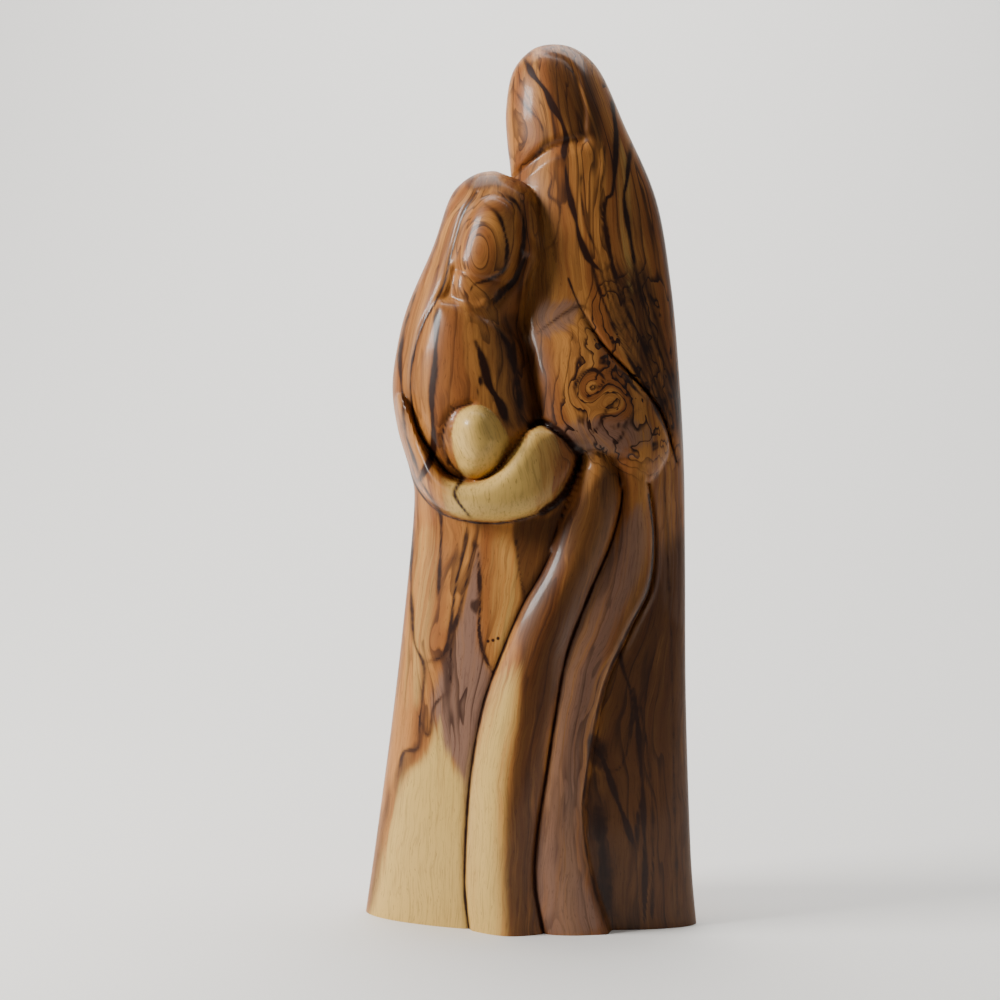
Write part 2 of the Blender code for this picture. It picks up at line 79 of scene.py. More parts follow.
# Left side of the tall figure, hidden up to the veil's top, and the line where the veil meets that figure
TALL_LEFT = [(-24, 90), (-22, 130), (-18, 165), (-14.6, 188), (-13.2, 199), (-12.8, 208), (-13.3, 214.5),
             (-14.4, 221.5), (-15.1, 231), (-13.6, 241.5), (-8.6, 247.9), (-2.3, TOP)]
FIGURE_LINE = [(0, 90), (0, 128), (-2.4, 141), (-3.9, 151), (-6.6, 163), (-7.9, 170), (-6.6, 179),
               (-3.9, 187), (-3.0, 194), (-3.8, 200), (-6.8, 206), (-12.3, 210.6), (-16.3, VEIL_TOP)]

# Depth of the figures, as (depth, up); the tall figure's depths are shares of half its width
TALL_FRONT = [(0.60, 90), (0.59, 150), (0.64, 190), (0.72, 209), (0.88, 231), (0.9, TOP)]
TALL_BACK = [(0.86, 90), (0.88, 150), (0.95, 190), (1.04, 210), (1.07, 231), (1.07, TOP)]
VEIL_FRONT = [(17, 90), (19, 130), (19.2, 150), (18.2, 170), (17, 190), (16.5, 198)]
VEIL_BACK = [(22, 90), (20, 130), (18, 160), (17, 190), (16, 198)]
VEIL_FORWARD = 3.0
VEIL_DOME_FROM = 196.0
FRONT_BLEND = 0.6
BACK_BLEND = 2.5

# The most of its depth that the veiled figure has where the two meet, and what is left of it at its very top
MOST_SHARE = 0.98
LEAST_DOME = 1e-6

# The robe below the arms: its depths, and the heights over which it turns into the two figures
SKIRT_DEPTH = 17.6
ROBE_DEPTH = 13.4
ROBE_BACK = [(27.5, 0), (27, 60), (26, 140)]
ROBE_TURNS = (104, 140)
BACK_TURNS = (44, 150)

# The two long folds: their creases, the second one's least width, their ridges, and the lip beside the last
# crease
FOLD_LEFT = [(-16.9, -1), (-18.6, 11), (-18.8, 27), (-18, 44), (-15.3, 62), (-10.6, 77), (-5.5, 90),
             (0.4, 101.5), (4.6, 115.5), (8.6, 129), (10.5, 140)]
FOLD_MIDDLE = [(3.9, -1), (0.8, 13), (0.9, 27), (2.8, 43.5), (4.7, 60), (7.4, 77.5), (13.1, 94.5),
               (18.7, 109), (21.0, 121), (19, 129), (14, 136)]
FOLD_RIGHT = [(22.6, -1), (17.0, 14.6), (13.8, 31), (14.2, 43.6), (17.8, 67.4), (24.1, 83.7), (29.6, 96),
              (30.5, 109.5), (28.5, 122), (27.3, 127), (26, 138)]
LEAST_FOLD = 3.2
FOLD_FOOT = 0.85
RIDGE_POWER = 1.7
FOLDS_END = (128, 138)
LIP_HEIGHT = 0.7
LIP_WIDTH = 0.9
LIP_BESIDE = 1.9
LIP_STARTS = (72, 84)

# Veil opening, face, neck and chest of the veiled figure
VEIL_OPENING = [(-18.6, 204.6), (-13.2, 203.3), (-9.4, 199.6), (-7.6, 194), (-7.6, 187), (-10, 180.5),
                (-13.5, 176.5), (-16.5, 173.2), (-21, 171), (-28, 171.8), (-32.6, 172.6), (-30.2, 178.5),
                (-29.1, 184.5), (-27.6, 191), (-25.8, 198), (-22.5, 202.8)]
VEILED_FACE = [(-17.6, 204.4), (-12.4, 202.4), (-9.2, 197.5), (-8.2, 190), (-9.6, 183), (-13.4, 178.6),
               (-19, 177.2), (-24.6, 178.6), (-28.4, 184), (-27.4, 191), (-25.2, 198), (-22.2, 202.6)]
NECK = [(-27, 183), (-28.6, 176.5), (-25, 171.4), (-18, 171), (-14.2, 174.5), (-13, 179.5), (-19, 182)]
CHEST = [(-32.4, 173.6), (-27, 172.8), (-20.5, 170.6), (-13, 167), (-8, 163.5), (-5.4, 157), (-3.6, 150),
         (-2.4, 140), (-9, 133), (-18, 124), (-25, 124), (-30, 127.5), (-35.6, 136.8), (-38.4, 146),
         (-38.4, 156), (-36.4, 165)]
OPENING_DEPTH = 2.0
OPENING_EASE = 2.6
FACE_ROUND = 9.0
NECK_HEIGHT, NECK_ROUND = 2.6, 5.0
CHEST_HEIGHT, CHEST_ROUND = 2.4, 8.5

# The crescent arm, rising over a round body of its own, and the baby in its crook
ARM_UPPER = [(-40.5, 148), (-38, 143), (-34.4, 134.5), (-29.4, 127.4), (-24.5, 124.3), (-19, 124.5),
             (-13.8, 127.6), (-9.7, 133.3), (-5.6, 139), (-1.6, 140.4)]
ARM_LOWER = [(-42.5, 137), (-39.4, 128), (-35.8, 121), (-30, 115.3), (-22, 112.8), (-11, 112.8), (-1, 115.8),
             (4.4, 120.6), (8, 128), (8.8, 133)]
ARM_TIP = [(9, 129), (8.4, 132.6), (4.4, 136.8), (-1.8, 140.8), (-5, 139.6)]
ARM = ARM_LOWER[:-1] + ARM_TIP[1:-1] + ARM_UPPER[-2::-1] + [(-43.5, 147)]
ARM_SPAN = (-43.5, 16.0)
ARM_BODY = 22.0
ARM_ROUND_ABOVE = 5.0
ARM_ROUND_BELOW = 8.5
ARM_EASE = 1.4
BABY = [(-26.5, 138), (-24.6, 142.6), (-20, 144.7), (-15.2, 142.6), (-11.8, 138), (-10.8, 134.5),
        (-13.8, 127.6), (-19, 124.5), (-23.5, 126), (-26, 132)]
BABY_LEFT = [(-21.4, 145), (-26.2, 143), (-28.6, 138.4), (-28.8, 133.5), (-26.6, 128.4), (-22.8, 125)]
BABY_ROUND = 7.0
BABY_HEAD_CENTRE = (-20.8, 137.4)
BABY_HEAD_HALF = (7.2, 8.6)
BABY_HEAD_HEIGHT = 1.6
EGG_POWER = 0.7

# Sleeve, mantle edge, hood edge, chin and collar of the tall figure
SLEEVE = [(-3, 141), (-5.4, 154), (-8, 168), (-4, 178), (4, 177), (12, 166), (21, 156.5), (29.6, 148),
          (34.5, 138), (33, 130.5), (27.6, 125), (20, 130.6), (11.6, 133), (7.6, 131), (0, 127), (-4, 133)]
SLEEVE_ROUND = 8.0
SLEEVE_FADES = (150, 179)
MANTLE_EDGE = [(4, 181), (6.8, 174.5), (10.3, 168.8), (14.6, 162.5), (22.4, 155), (29.6, 147.6), (33.2, 141),
               (36.8, 131.6)]
MANTLE_STEP = 1.3
MANTLE_FADES = (4, 14)
MANTLE_STARTS = (130, 137)
MANTLE_ENDS = (158, 176)
HOOD_LINE = [(-6, 246), (-3.3, 244.6), (1.1, 243), (4.3, 238.7), (5.6, 233), (6.9, 227.5), (6.8, 219.6)]
HOOD_STEP = 0.6
HOOD_RISES = (-0.6, 1.4)
HOOD_FADES = (2, 9)
HOOD_STARTS = (217, 224)
HOOD_ENDS = (238, 247)
CHIN_LINE = [(-16, 208.2), (-13.2, 210.2), (-9.6, 212.5), (-3.9, 216.6), (0, 218.4), (6.2, 219.9), (14, 221)]
CHIN_DEPTH = 1.7
CHIN_ROUND = 1.6
CHIN_FADES = (5, 11)
COLLAR_DROP = 3.6
HEAD_STARTS = (200, 206)

# Cuts along the creases, as (width, depth), the widths over which other carved edges are eased, and where that
# easing starts, as a share of the width
FOLD_CUT = (0.7, 0.6)
LAST_FOLD_CUT = (0.9, 1.2)
BAND_CUT = (0.7, 0.5)
HOLLOW_CUT = (1.5, 1.8)
ARM_CUT = (0.7, 0.9)
BABY_CUT = (0.9, 0.9)
MANTLE_CUT = (0.8, 0.9)
HOOD_CUT = (0.9, 0.25)
EASE = 0.8
SOFT_EASE = 3.0
EASE_FROM = -0.3
VEIL_BAND = [(-22.3, 203.8), (-25.8, 198), (-27.6, 191), (-29.1, 184.5), (-30.2, 178.5), (-32.6, 172.6),
             (-35.6, 167), (-38, 159), (-38.7, 149.5), (-36.6, 138.6), (-32.3, 131.9), (-28, 126.6),
             (-23.5, 124.4)]
VEIL_HOLLOW = [(-8.4, 186), (-10.5, 180.5), (-13.4, 176.8), (-16.2, 173.4)]

# The carving leaves the outline smooth: relief fades out where the block turns away
RELIEF_FADES = (0.0, 0.55)
FAR_BEHIND = -60.0
LEAST_DEPTH = 0.05

# Faces that meet at less than this angle, in degrees, are shaded as one surface
SMOOTH_BELOW = 50.0

# A place beyond the edge of a round section by no more than this share of its half width still lies on the edge
EDGE_SLACK = 1e-6

# Slices lean down beside the veil's top, so that each one reaches the tall figure below the notch. The place
# where a leaning slice meets the outline is found in so many passes
NOTCH_LEAN = 2.3
NOTCH_ACROSS = (-19, -13)
NOTCH_REACH = 9.0
EDGE_PASSES = 6

# Above the veil's top the columns still start left of the edge, over the veil's right slope, and join the edge
# between two heights; those beyond the edge are pressed into a thin band beside it
VEIL_SLOPE = 6.2
VEIL_LEAVES = (213.0, 236.0)
PRESSED_BAND = 0.03

# Where slices lie closer together, as (up, reach, extra), and how many heights are weighed to place them
CLOSER = ((200, 14, 0.6), (VEIL_TOP, 1.2, 4.0), (TOP, 2.5, 2.0), (128, 25, 0.7))
HEIGHT_SAMPLES = 2501

# Lines that the columns follow up the front, and the share of the columns left of each
COLUMN_LINES = (
    FOLD_LEFT[:-2] + [(0, 130), (-2.4, 141), (-7.9, 170), (-3, 194), (-6.8, 206), (-7.5, 216), (-6, 232),
                      (-2.9, TOP)],
    FOLD_MIDDLE[:-2] + [(20, 130), (13, 150), (2, 170), (3, 190), (1, 212), (0, 232), (-2.3, TOP)],
    FOLD_RIGHT[:-3] + [(30, 120), (33, 133), (22.4, 155), (9, 172), (8, 190), (8, 215), (6, 232),
                       (-1.8, TOP)],
)
COLUMN_SHARES = (0.36, 0.54, 0.7)
COLUMN_LEFT = 0.22
COLUMN_RIGHT = 0.1

# The camera, in metres: its place in front of the carving and the tilt of its upper edge
CAMERA_PLACE = (-0.0133, -0.4574, 0.119)
CAMERA_FOCAL = 57.6
CAMERA_SENSOR = 36.0
CAMERA_ROLL = 2.1
CAMERA_NEAR = 0.01

# The picture's width in the units of the places in it, its thousandths
PICTURE = 1000.0

# Soft square lights: (place, target, size, colour), in metres
LIGHTS = {
    "window": ((-0.79, -0.28, 0.48), (0.0, 0.0, 0.12), 0.30, (1.0, 0.98, 0.95)),
    "fill": ((0.7, -0.6, 0.3), (0.0, 0.0, 0.12), 0.8, (0.95, 0.97, 1.0)),
    "backdrop": ((0.0, 0.5, 1.3), (0.0, 1.3, 0.0), 1.2, (1.0, 1.0, 1.0)),
}

# The colour of the light from all round, and the roughness of the floor's matt paper
AIR_COLOUR = "#F2F1EE"
PAPER_ROUGHNESS = 0.9

# The floor turns up behind the carving, in metres
FLOOR_SIZE = 6.0
FLOOR_STARTS = -0.14
SWEEP_STARTS = 0.35
SWEEP_RADIUS = 0.9
FLOOR_CUTS = 95

# The wood's figure is placed as the camera sees it, (across, down) in thousandths of the picture. Lines that
# the fibres follow from foot to head, each with the place across that it has in the plank
FIBRE_LINES = [
    (380, [(365, 930), (390, 740), (405, 600), (412, 500), (394, 400), (402, 330), (440, 225), (470, 180),
           (480, 40)]),
    (440, [(440, 930), (445, 740), (440, 600), (446, 520), (436, 420), (434, 330), (460, 240), (484, 190),
           (495, 40)]),
    (480, [(468, 930), (474, 740), (490, 670), (500, 600), (515, 520), (500, 420), (490, 330), (510, 240),
           (510, 40)]),
    (520, [(500, 930), (510, 740), (540, 620), (560, 540), (575, 470), (548, 380), (540, 280), (530, 180),
           (526, 40)]),
    (560, [(540, 930), (552, 740), (585, 610), (610, 520), (605, 440), (580, 330), (570, 230), (566, 150),
           (545, 40)]),
    (610, [(606, 930), (592, 740), (640, 610), (648, 520), (650, 440), (625, 340), (603, 250), (600, 150),
           (565, 40)]),
    (650, [(650, 930), (646, 740), (668, 610), (670, 520), (668, 440), (655, 340), (632, 240), (620, 150),
           (585, 40)]),
    (700, [(700, 930), (692, 740), (688, 610), (686, 520), (684, 440), (678, 340), (668, 240), (640, 150),
           (600, 40)]),
]

# Metres across the plank to a thousandth of the picture, and the least gap between two fibre lines
PLANK_STEP = 0.00029
LEAST_GAP = 4.0

# Eyes, where the carving cuts through nested layers: (across, down, half width, half height, rise)
EYES = [(476, 246, 24, 44, 62), (531, 132, 15, 30, -34), (590, 388, 13, 14, 46), (612, 402, 14, 12, -34),
        (560, 318, 20, 14, 17), (632, 320, 9, 40, -24), (604, 425, 22, 16, 30), (430, 640, 12, 30, 18)]

# Dark veins: (half width, strength, points)
VEINS = [
    (3.0, 1.0, [(524, 58), (533, 75), (545, 90), (552, 105), (561, 120), (566, 138), (564, 150),
                (565, 165)]),
    (3.2, 1.0, [(565, 160), (568, 190), (575, 215), (580, 240), (590, 260), (602, 272)]),
    (1.6, 0.7, [(510, 84), (526, 106), (540, 122), (544, 140), (540, 152), (528, 162)]),
    (1.6, 0.7, [(582, 165), (581, 190), (584, 215), (590, 235), (601, 262)]),
    (1.8, 0.7, [(605, 140), (604, 170), (601, 190), (602, 240), (603, 262)]),
    (3.0, 0.9, [(612, 96), (616, 140), (613, 190), (606, 200), (605, 225), (614, 270), (622, 285)]),
    (2.8, 0.9, [(631, 145), (627, 180), (624, 200), (631, 240), (635, 270)]),
    (1.5, 0.6, [(548, 170), (552, 178), (549, 195), (560, 207), (555, 240), (545, 250)]),
    (2.4, 0.9, [(577, 397), (576, 385), (584, 374), (595, 370), (603, 378), (601, 386), (590, 388)]),
    (2.0, 0.8, [(603, 378), (612, 370), (622, 372), (632, 385), (645, 399)]),
    (2.2, 0.6, [(622, 398), (608, 408), (600, 425), (588, 436)]),
    (2.2, 0.6, [(640, 408), (628, 418), (622, 435), (610, 450)]),
    (1.8, 0.7, [(530, 340), (541, 330), (552, 322), (566, 312), (580, 306), (590, 310)]),
    (2.0, 0.9, [(484, 203), (499, 216), (506, 238), (507, 252), (503, 271), (488, 280), (475, 284),
                (467, 295)]),
    (2.4, 0.8, [(505, 193), (519, 207), (524, 228), (521, 255), (514, 280), (500, 291), (491, 306)]),
    (3.4, 1.0, [(438, 310), (436, 340), (434, 370), (432, 400), (433, 450), (425, 470), (420, 480)]),
    (2.2, 0.8, [(420, 480), (432, 500), (441, 517), (440, 560), (438, 600)]),
    (2.0, 0.8, [(418, 285), (410, 310), (404, 330), (400, 360), (403, 400), (405, 430), (420, 478)]),
    (3.0, 0.75, [(485, 366), (480, 380), (477, 400)]),
    (4.4, 0.95, [(476, 342), (483, 362), (490, 386), (500, 405), (509, 426)]),
    (4.2, 0.8, [(496, 326), (508, 346), (516, 376), (522, 420)]),
    (2.2, 0.7, [(505, 318), (513, 340), (517, 365), (519, 395), (518, 425)]),
    (2.0, 0.6, [(516, 322), (525, 345), (529, 375), (531, 400), (533, 420)]),
    (2.2, 0.8, [(452, 440), (458, 460), (462, 478), (455, 495), (472, 520)]),
    (1.4, 0.7, [(443, 455), (452, 470), (470, 479), (490, 477)]),
    (2.2, 0.9, [(468, 523), (465, 545), (455, 590), (446, 650), (428, 662)]),
    (2.0, 0.9, [(479, 525), (474, 545), (462, 600), (452, 640), (450, 690)]),
    (1.8, 0.8, [(412, 520), (411, 580), (414, 640), (424, 668), (420, 720), (418, 748), (404, 752),
                (398, 775)]),
    (2.2, 0.9, [(478, 545), (480, 600), (479, 630), (483, 652), (493, 674)]),
    (1.8, 0.7, [(417, 712), (428, 735), (434, 706), (450, 690)]),
    (1.6, 0.7, [(514, 522), (517, 545), (520, 572), (525, 600)]),
    (2.0, 0.8, [(619, 640), (622, 665), (630, 690), (632, 720), (628, 745), (620, 768), (604, 772)]),
    (3.0, 0.9, [(634, 690), (638, 730), (642, 780), (645, 860), (644, 928)]),
    (2.2, 0.7, [(640, 700), (651, 780), (653, 860), (652, 926)]),
    (3.0, 1.0, [(590, 742), (602, 758), (612, 785), (632, 840), (638, 850)]),
    (2.4, 0.9, [(638, 850), (637, 825), (640, 800)]),
    (9.0, 0.9, [(594, 742), (601, 762)]),
    (10.0, 0.72, [(598, 800), (602, 840), (606, 880), (610, 920)]),
    (1.6, 0.5, [(664, 470), (668, 560), (672, 660), (674, 780), (678, 925)]),
]

# Streaks in the burl beside the mantle's edge run between these two lines. Each has a half width, a sway, and a
# strength of the first value and up to the second more
BURL_LEFT = [(588, 250), (600, 292), (622, 345), (646, 388), (668, 436)]
BURL_RIGHT = [(640, 262), (650, 300), (664, 345), (676, 390), (681, 436)]
BURL_STREAKS = 8
STREAK_WIDTH = 1.9
STREAK_SWAY = 3.0
STREAK_STRENGTH = (0.4, 0.45)

# In radians: a streak's sway from point to point, and the sway and the strength from the first to the last
STREAK_TURNS = (2.1, 9.0, 7.0)

# Patches of other woods and of stronger figure: (name, edge softness, strength, outline). A few heartwood
# patches also carry painted shade on sides that face away from the light
PATCHES = [
    ("sapwood", 9, 1.0, [(372, 902), (381, 858), (393, 806), (407, 772), (420, 760), (430, 742), (440, 714),
                         (447, 744), (458, 770), (466, 790), (466, 860), (466, 945), (362, 945)]),
    ("sapwood", 16, 1.0, [(494, 690), (506, 668), (516, 664), (517, 712), (508, 760), (503, 820), (503, 945),
                          (466, 945), (464, 850), (472, 760)]),
    ("sapwood", 5, 0.5, [(617, 140), (629, 160), (632, 230), (634, 292), (626, 285), (618, 216)]),
    ("sapwood", 12, 0.48, [(414, 530), (440, 530), (436, 620), (424, 700), (404, 700), (408, 600)]),
    ("sapwood", 10, 0.46, [(486, 540), (512, 540), (522, 600), (512, 645), (496, 668), (486, 610)]),
    ("smoke", 9, 1.0, [(477, 545), (482, 600), (482, 650), (493, 678), (480, 740), (472, 800), (468, 870),
                       (462, 800), (452, 764), (440, 752), (434, 728), (430, 700), (446, 650), (462, 600)]),
    ("smoke", 10, 0.85, [(560, 640), (600, 560), (640, 500), (648, 560), (612, 640), (585, 760), (582, 860),
                         (600, 930), (540, 930), (540, 820), (552, 720)]),
    ("heart", 6, 0.7, [(420, 744), (404, 790), (390, 850), (378, 905), (370, 940), (362, 940), (372, 860),
                       (386, 790), (404, 750)]),
    ("heart", 6, 0.8, [(466, 176), (496, 174), (500, 187), (470, 192)]),
    ("smoke", 8, 0.85, [(538, 308), (562, 298), (582, 302), (572, 326), (542, 338)]),
    ("smoke", 9, 0.8, [(560, 424), (640, 418), (650, 448), (574, 452)]),
    ("smoke", 9, 0.5, [(652, 470), (690, 470), (690, 620), (660, 600)]),
    ("heart", 6, 0.9, [(514, 520), (548, 515), (572, 500), (556, 548), (524, 602), (518, 575)]),
    ("heart", 9, 0.7, [(498, 315), (532, 325), (540, 420), (524, 432), (508, 425), (488, 362)]),
    ("heart", 9, 0.9, [(545, 50), (583, 62), (600, 100), (602, 140), (584, 140), (566, 134), (553, 105)]),
    # Heartwood and painted shade: this patch darkens the first fold's right half, which faces away from the
    # light
    ("heart", 9, 0.85, [(520, 600), (600, 470), (622, 490), (590, 600), (556, 700), (545, 780), (540, 940),
                        (506, 940), (506, 800), (518, 700)]),
    # Heartwood and painted shade: these patches darken the lower right robe and the last crease beside it,
    # which lie in shade
    ("heart", 26, 1.0, [(612, 640), (660, 540), (720, 560), (710, 940), (608, 940), (585, 860), (590, 740)]),
    ("heart", 4, 1.0, [(588, 735), (602, 738), (603, 764), (590, 764)]),
    ("heart", 5, 1.0, [(586, 780), (602, 776), (606, 870), (594, 885), (585, 830)]),
    ("heart", 20, 0.8, [(600, 280), (650, 262), (676, 330), (690, 430), (664, 430), (640, 380)]),
    ("heart", 9, 0.5, [(402, 330), (440, 240), (470, 190), (500, 196), (452, 262), (430, 320), (412, 400),
                       (396, 400)]),
    ("heart", 12, 0.6, [(640, 140), (700, 140), (700, 470), (676, 470), (668, 330), (650, 230)]),
    # Heartwood and painted shade: the veil's right band, on the side away from the light
    ("heart", 9, 0.6, [(520, 180), (548, 200), (548, 250), (530, 300), (514, 300), (530, 250), (528, 215)]),
    ("figured", 14, 1.0, [(548, 40), (600, 60), (650, 160), (672, 300), (684, 430), (580, 460), (556, 420),
                          (560, 370), (590, 300), (560, 200)]),
    ("figured", 12, 0.9, [(496, 310), (540, 330), (545, 425), (520, 440), (480, 380)]),
    ("figured", 12, 0.9, [(450, 530), (482, 540), (490, 680), (440, 740), (405, 700), (410, 620),
                          (440, 600)]),
    ("figured", 14, 0.9, [(590, 700), (660, 660), (664, 940), (610, 940), (590, 840)]),
    ("figured", 12, 0.9, [(452, 200), (490, 184), (530, 200), (534, 240), (500, 300), (462, 300),
                          (446, 280)]),
    ("figured", 12, 0.7, [(505, 60), (545, 50), (560, 130), (540, 160), (508, 170)]),
    ("burl", 16, 1.0, [(590, 300), (650, 280), (684, 380), (684, 440), (640, 470), (570, 450), (556, 410),
                       (570, 360)]),
]

# How much weaker a vein is at its ends, over how far, and by how much its width swells and thins along it, with
# the swell's radians to a step across, a step down and a step of width
VEIN_TAPER = 0.45
TAPER_REACH = 9.0
VEIN_SWELL = 0.35
SWELL_TURNS = (0.13, 0.09, 7.0)

# A vein's edge lies where its strength falls to this value. A vein thinner than the grid shows is placed wider
# and weaker, with its edge in the same place. Beyond so many widths a vein no longer counts
VEIN_EDGE = 0.5
LEAST_VEIN = 2.6
VEIN_REACH = 3.0

# Painted shade in the creases and hollows, added to the veins' darkening: (line, half width in grid steps,
# strength)
CREASE_SHADE = [(FOLD_LEFT[:-2], 0.45, 0.85), (FOLD_MIDDLE[:-1], 0.45, 0.85), (FOLD_RIGHT[:-2], 0.5, 0.95),
           (ARM_LOWER[:-3], 0.4, 0.7), (ARM_LOWER[-4:] + ARM_TIP[1:], 1.3, 0.9), (BABY_LEFT, 0.5, 0.7),
           (MANTLE_EDGE, 0.45, 0.7), (VEIL_HOLLOW, 0.9, 0.8), (VEIL_BAND, 0.5, 0.75),
           (CHIN_LINE[:-2], 0.4, 0.45)]

# Pale wood on the arm: where it starts; where it fades toward the arm's right end and how much of it is lost
# there, a fade that is partly browner wood and partly painted shade on that end; and how far inside the
# outlines of the arm and of the baby it sets in
SAP_ON_ARM = (-31, -24)
SAP_FADE_AND_SHADE_ON_ARM = (-9, 8)
SAP_LOSS_AND_SHADE = 0.75
SAP_EDGE = (-0.5, 1.5)
BABY_EDGE = (-0.5, 0.5)

# The front's figure fades over this depth behind the widest line, in metres, and is left out below a share
FIGURE_FADES = 10 * MM
LEAST_SHARE = 0.02

# Worm holes, painted as dark spots of painted shade, since no hole is cut in the surface: (across, down)
WORM_HOLES = [(488, 642), (493, 641), (498, 639)]

# How far forward their surface stands, in grid steps, how little depth counts in the distance from a hole, and
# the distances at which a hole's painted shade starts to pale and ends
HOLE_AHEAD = 17.0
HOLE_STRETCH = (1.0, 0.1, 1.0)
HOLE_RADII = (0.38 * MM, 0.65 * MM)

# Small hollows of the surface: (across, down, half width, half height, depth in grid steps)
DENTS = [(632, 468, 13, 11, 1.0), (622, 458, 6, 5, 0.8), (641, 476, 6, 6, 0.8), (600, 162, 3, 12, 0.5),
         (538, 240, 4, 7, 0.8)]


class CarvingSizes(bpy.types.PropertyGroup):
    """Sizes of the carved forms, and how finely the surface is cut."""

    rings: bpy.props.IntProperty(
        name="Rings", description="Level slices from foot to head", default=462, min=60)
    front: bpy.props.IntProperty(
        name="Front columns", description="Columns across the front", default=156, min=40)
    back: bpy.props.IntProperty(name="Back columns", description="Columns across the back", default=56, min=12)
    face: bpy.props.FloatProperty(
        name="Veiled face", description="Rise of the face in the veil", default=4.6 * STEP, unit="LENGTH")
    arm: bpy.props.FloatProperty(
        name="Arm", description="Rise of the crescent arm", default=6.6 * STEP, unit="LENGTH")
    baby: bpy.props.FloatProperty(
        name="Baby", description="Rise of the baby", default=7.0 * STEP, unit="LENGTH")
    sleeve: bpy.props.FloatProperty(
        name="Sleeve", description="Swell of the tall figure's sleeve", default=4.0 * STEP, unit="LENGTH")
    first_fold: bpy.props.FloatProperty(
        name="First fold", description="Height of the first long fold", default=4.0 * STEP, unit="LENGTH")
    second_fold: bpy.props.FloatProperty(
        name="Second fold", description="Height of the second long fold", default=2.2 * STEP, unit="LENGTH")
    last_step: bpy.props.FloatProperty(
        name="Last step", description="Step from the second fold to the robe", default=3.8 * STEP,
        unit="LENGTH")


class WoodColours(bpy.types.PropertyGroup):
    """Colours of the olive wood, as sRGB hex values, and its varnish."""

    honey: bpy.props.StringProperty(name="Honey", description="Light honey wood", default="#B2773A")
    amber: bpy.props.StringProperty(name="Amber", description="Darker honey wood", default="#885025")
    heart: bpy.props.StringProperty(name="Heartwood", description="Brown heartwood", default="#3D200D")
    sapwood: bpy.props.StringProperty(name="Sapwood", description="Pale yellow sapwood", default="#D0AC60")
    smoke: bpy.props.StringProperty(name="Smoky wood", description="Grey to purple clouds", default="#7E6052")
    # The veins' colour also darkens the painted shade in the creases and in the worm holes
    vein: bpy.props.StringProperty(name="Veins", description="Nearly black veins", default="#2C140A")
    gloss: bpy.props.FloatProperty(
        name="Varnish roughness", description="Roughness of the varnish", default=0.40, min=0.0, max=1.0,
        subtype="FACTOR")


class StageSettings(bpy.types.PropertyGroup):
    """Floor, lights and camera."""

    floor: bpy.props.StringProperty(name="Floor", description="Colour of the floor", default="#EFEDE9")
    key: bpy.props.FloatProperty(
        name="Window", description="Power of the soft main light", default=14.5, unit="POWER")
    fill: bpy.props.FloatProperty(name="Fill", description="Power of the fill light", default=0.3, unit="POWER")
    backdrop: bpy.props.FloatProperty(
        name="Backdrop", description="Power of the light on the backdrop", default=27.0, unit="POWER")
    wall: bpy.props.FloatProperty(
        name="Wall", description="Brightness of the wall beyond the floor", default=0.82)
    sky: bpy.props.FloatProperty(name="Sky", description="Strength of the light from all round", default=0.14)
    focal: bpy.props.FloatProperty(
        name="Focal length", description="Focal length in millimetres", default=CAMERA_FOCAL)


def curve(points, closed=False, steps=10):
    """Smooth line through the points, as a fine row of (across, up) places."""
    p = np.array(points, float)
    if closed:
        p = np.vstack([p[-1], p, p[0], p[1]])
    else:
        p = np.vstack([2 * p[0] - p[1], p, 2 * p[-1] - p[-2]])
    before, start, end, after = p[:-3], p[1:-2], p[2:-1], p[3:]
    rows = []
    for t in np.arange(steps) / steps:
        bend = (2 * before - 5 * start + 4 * end - after) * t ** 2
        bend = bend + (3 * start - before - 3 * end + after) * t ** 3
        rows.append(start + 0.5 * ((end - before) * t + bend))
    line = np.stack(rows, axis=1).reshape(-1, 2)
    return np.vstack([line, line[0] if closed else p[-2]])


def at_height(z, points):
    """How far across, or how deep, a line is at the heights z."""
    line = curve(points)
    return np.interp(z, line[:, 1], line[:, 0])


def at_side(x, points):
    """How high a line is at the places x across."""
    line = curve(points)
    return np.interp(x, line[:, 0], line[:, 1])


def ramp(value, low, high):
    """0 below low, 1 above high, with a smooth rise between."""
    t = np.clip((value - low) / (high - low), 0.0, 1.0)
    return t * t * (3.0 - 2.0 * t)


def distance(x, z, line):
    """Distance in the front plane from each place to a line."""
    nearest = np.full(x.shape, np.inf)
    for a, b in zip(line[:-1], line[1:]):
        run, rise = b - a
        t = np.clip(((x - a[0]) * run + (z - a[1]) * rise) / (run * run + rise * rise), 0.0, 1.0)
        nearest = np.minimum(nearest, np.hypot(x - a[0] - t * run, z - a[1] - t * rise))
    return nearest


def inset(x, z, outline):
    """Distance inward from a closed outline, negative outside it."""
    ring = curve(outline, closed=True, steps=6)
    inside = np.zeros(x.shape, bool)
    for a, b in zip(ring[:-1], ring[1:]):
        if a[1] != b[1]:
            crosses = (a[1] > z) != (b[1] > z)
            inside ^= crosses & (x < a[0] + (z - a[1]) * (b[0] - a[0]) / (b[1] - a[1]))
    return np.where(inside, 1.0, -1.0) * distance(x, z, ring)


def pillow(inward, width, ease=EASE):
    """Quarter round with an eased foot: 0 on the outline, 1 from the given width inward."""
    t = np.clip(inward / width, 0.0, 1.0)
    return np.sqrt(1.0 - (1.0 - t) ** 2) * ramp(inward, EASE_FROM * ease, ease)


def egg(x, z, centre, half):
    """Height of an egg form, 1 at its centre and 0 on its rim."""
    r = np.hypot((x - centre[0]) / half[0], (z - centre[1]) / half[1])
    return np.clip(1.0 - r * r, 0.0, 1.0) ** EGG_POWER


def groove(x, z, points, cut):
    """Rounded cut along a line."""
    width, depth = cut
    return -depth * np.exp(-(distance(x, z, curve(points, steps=6)) / width) ** 2)


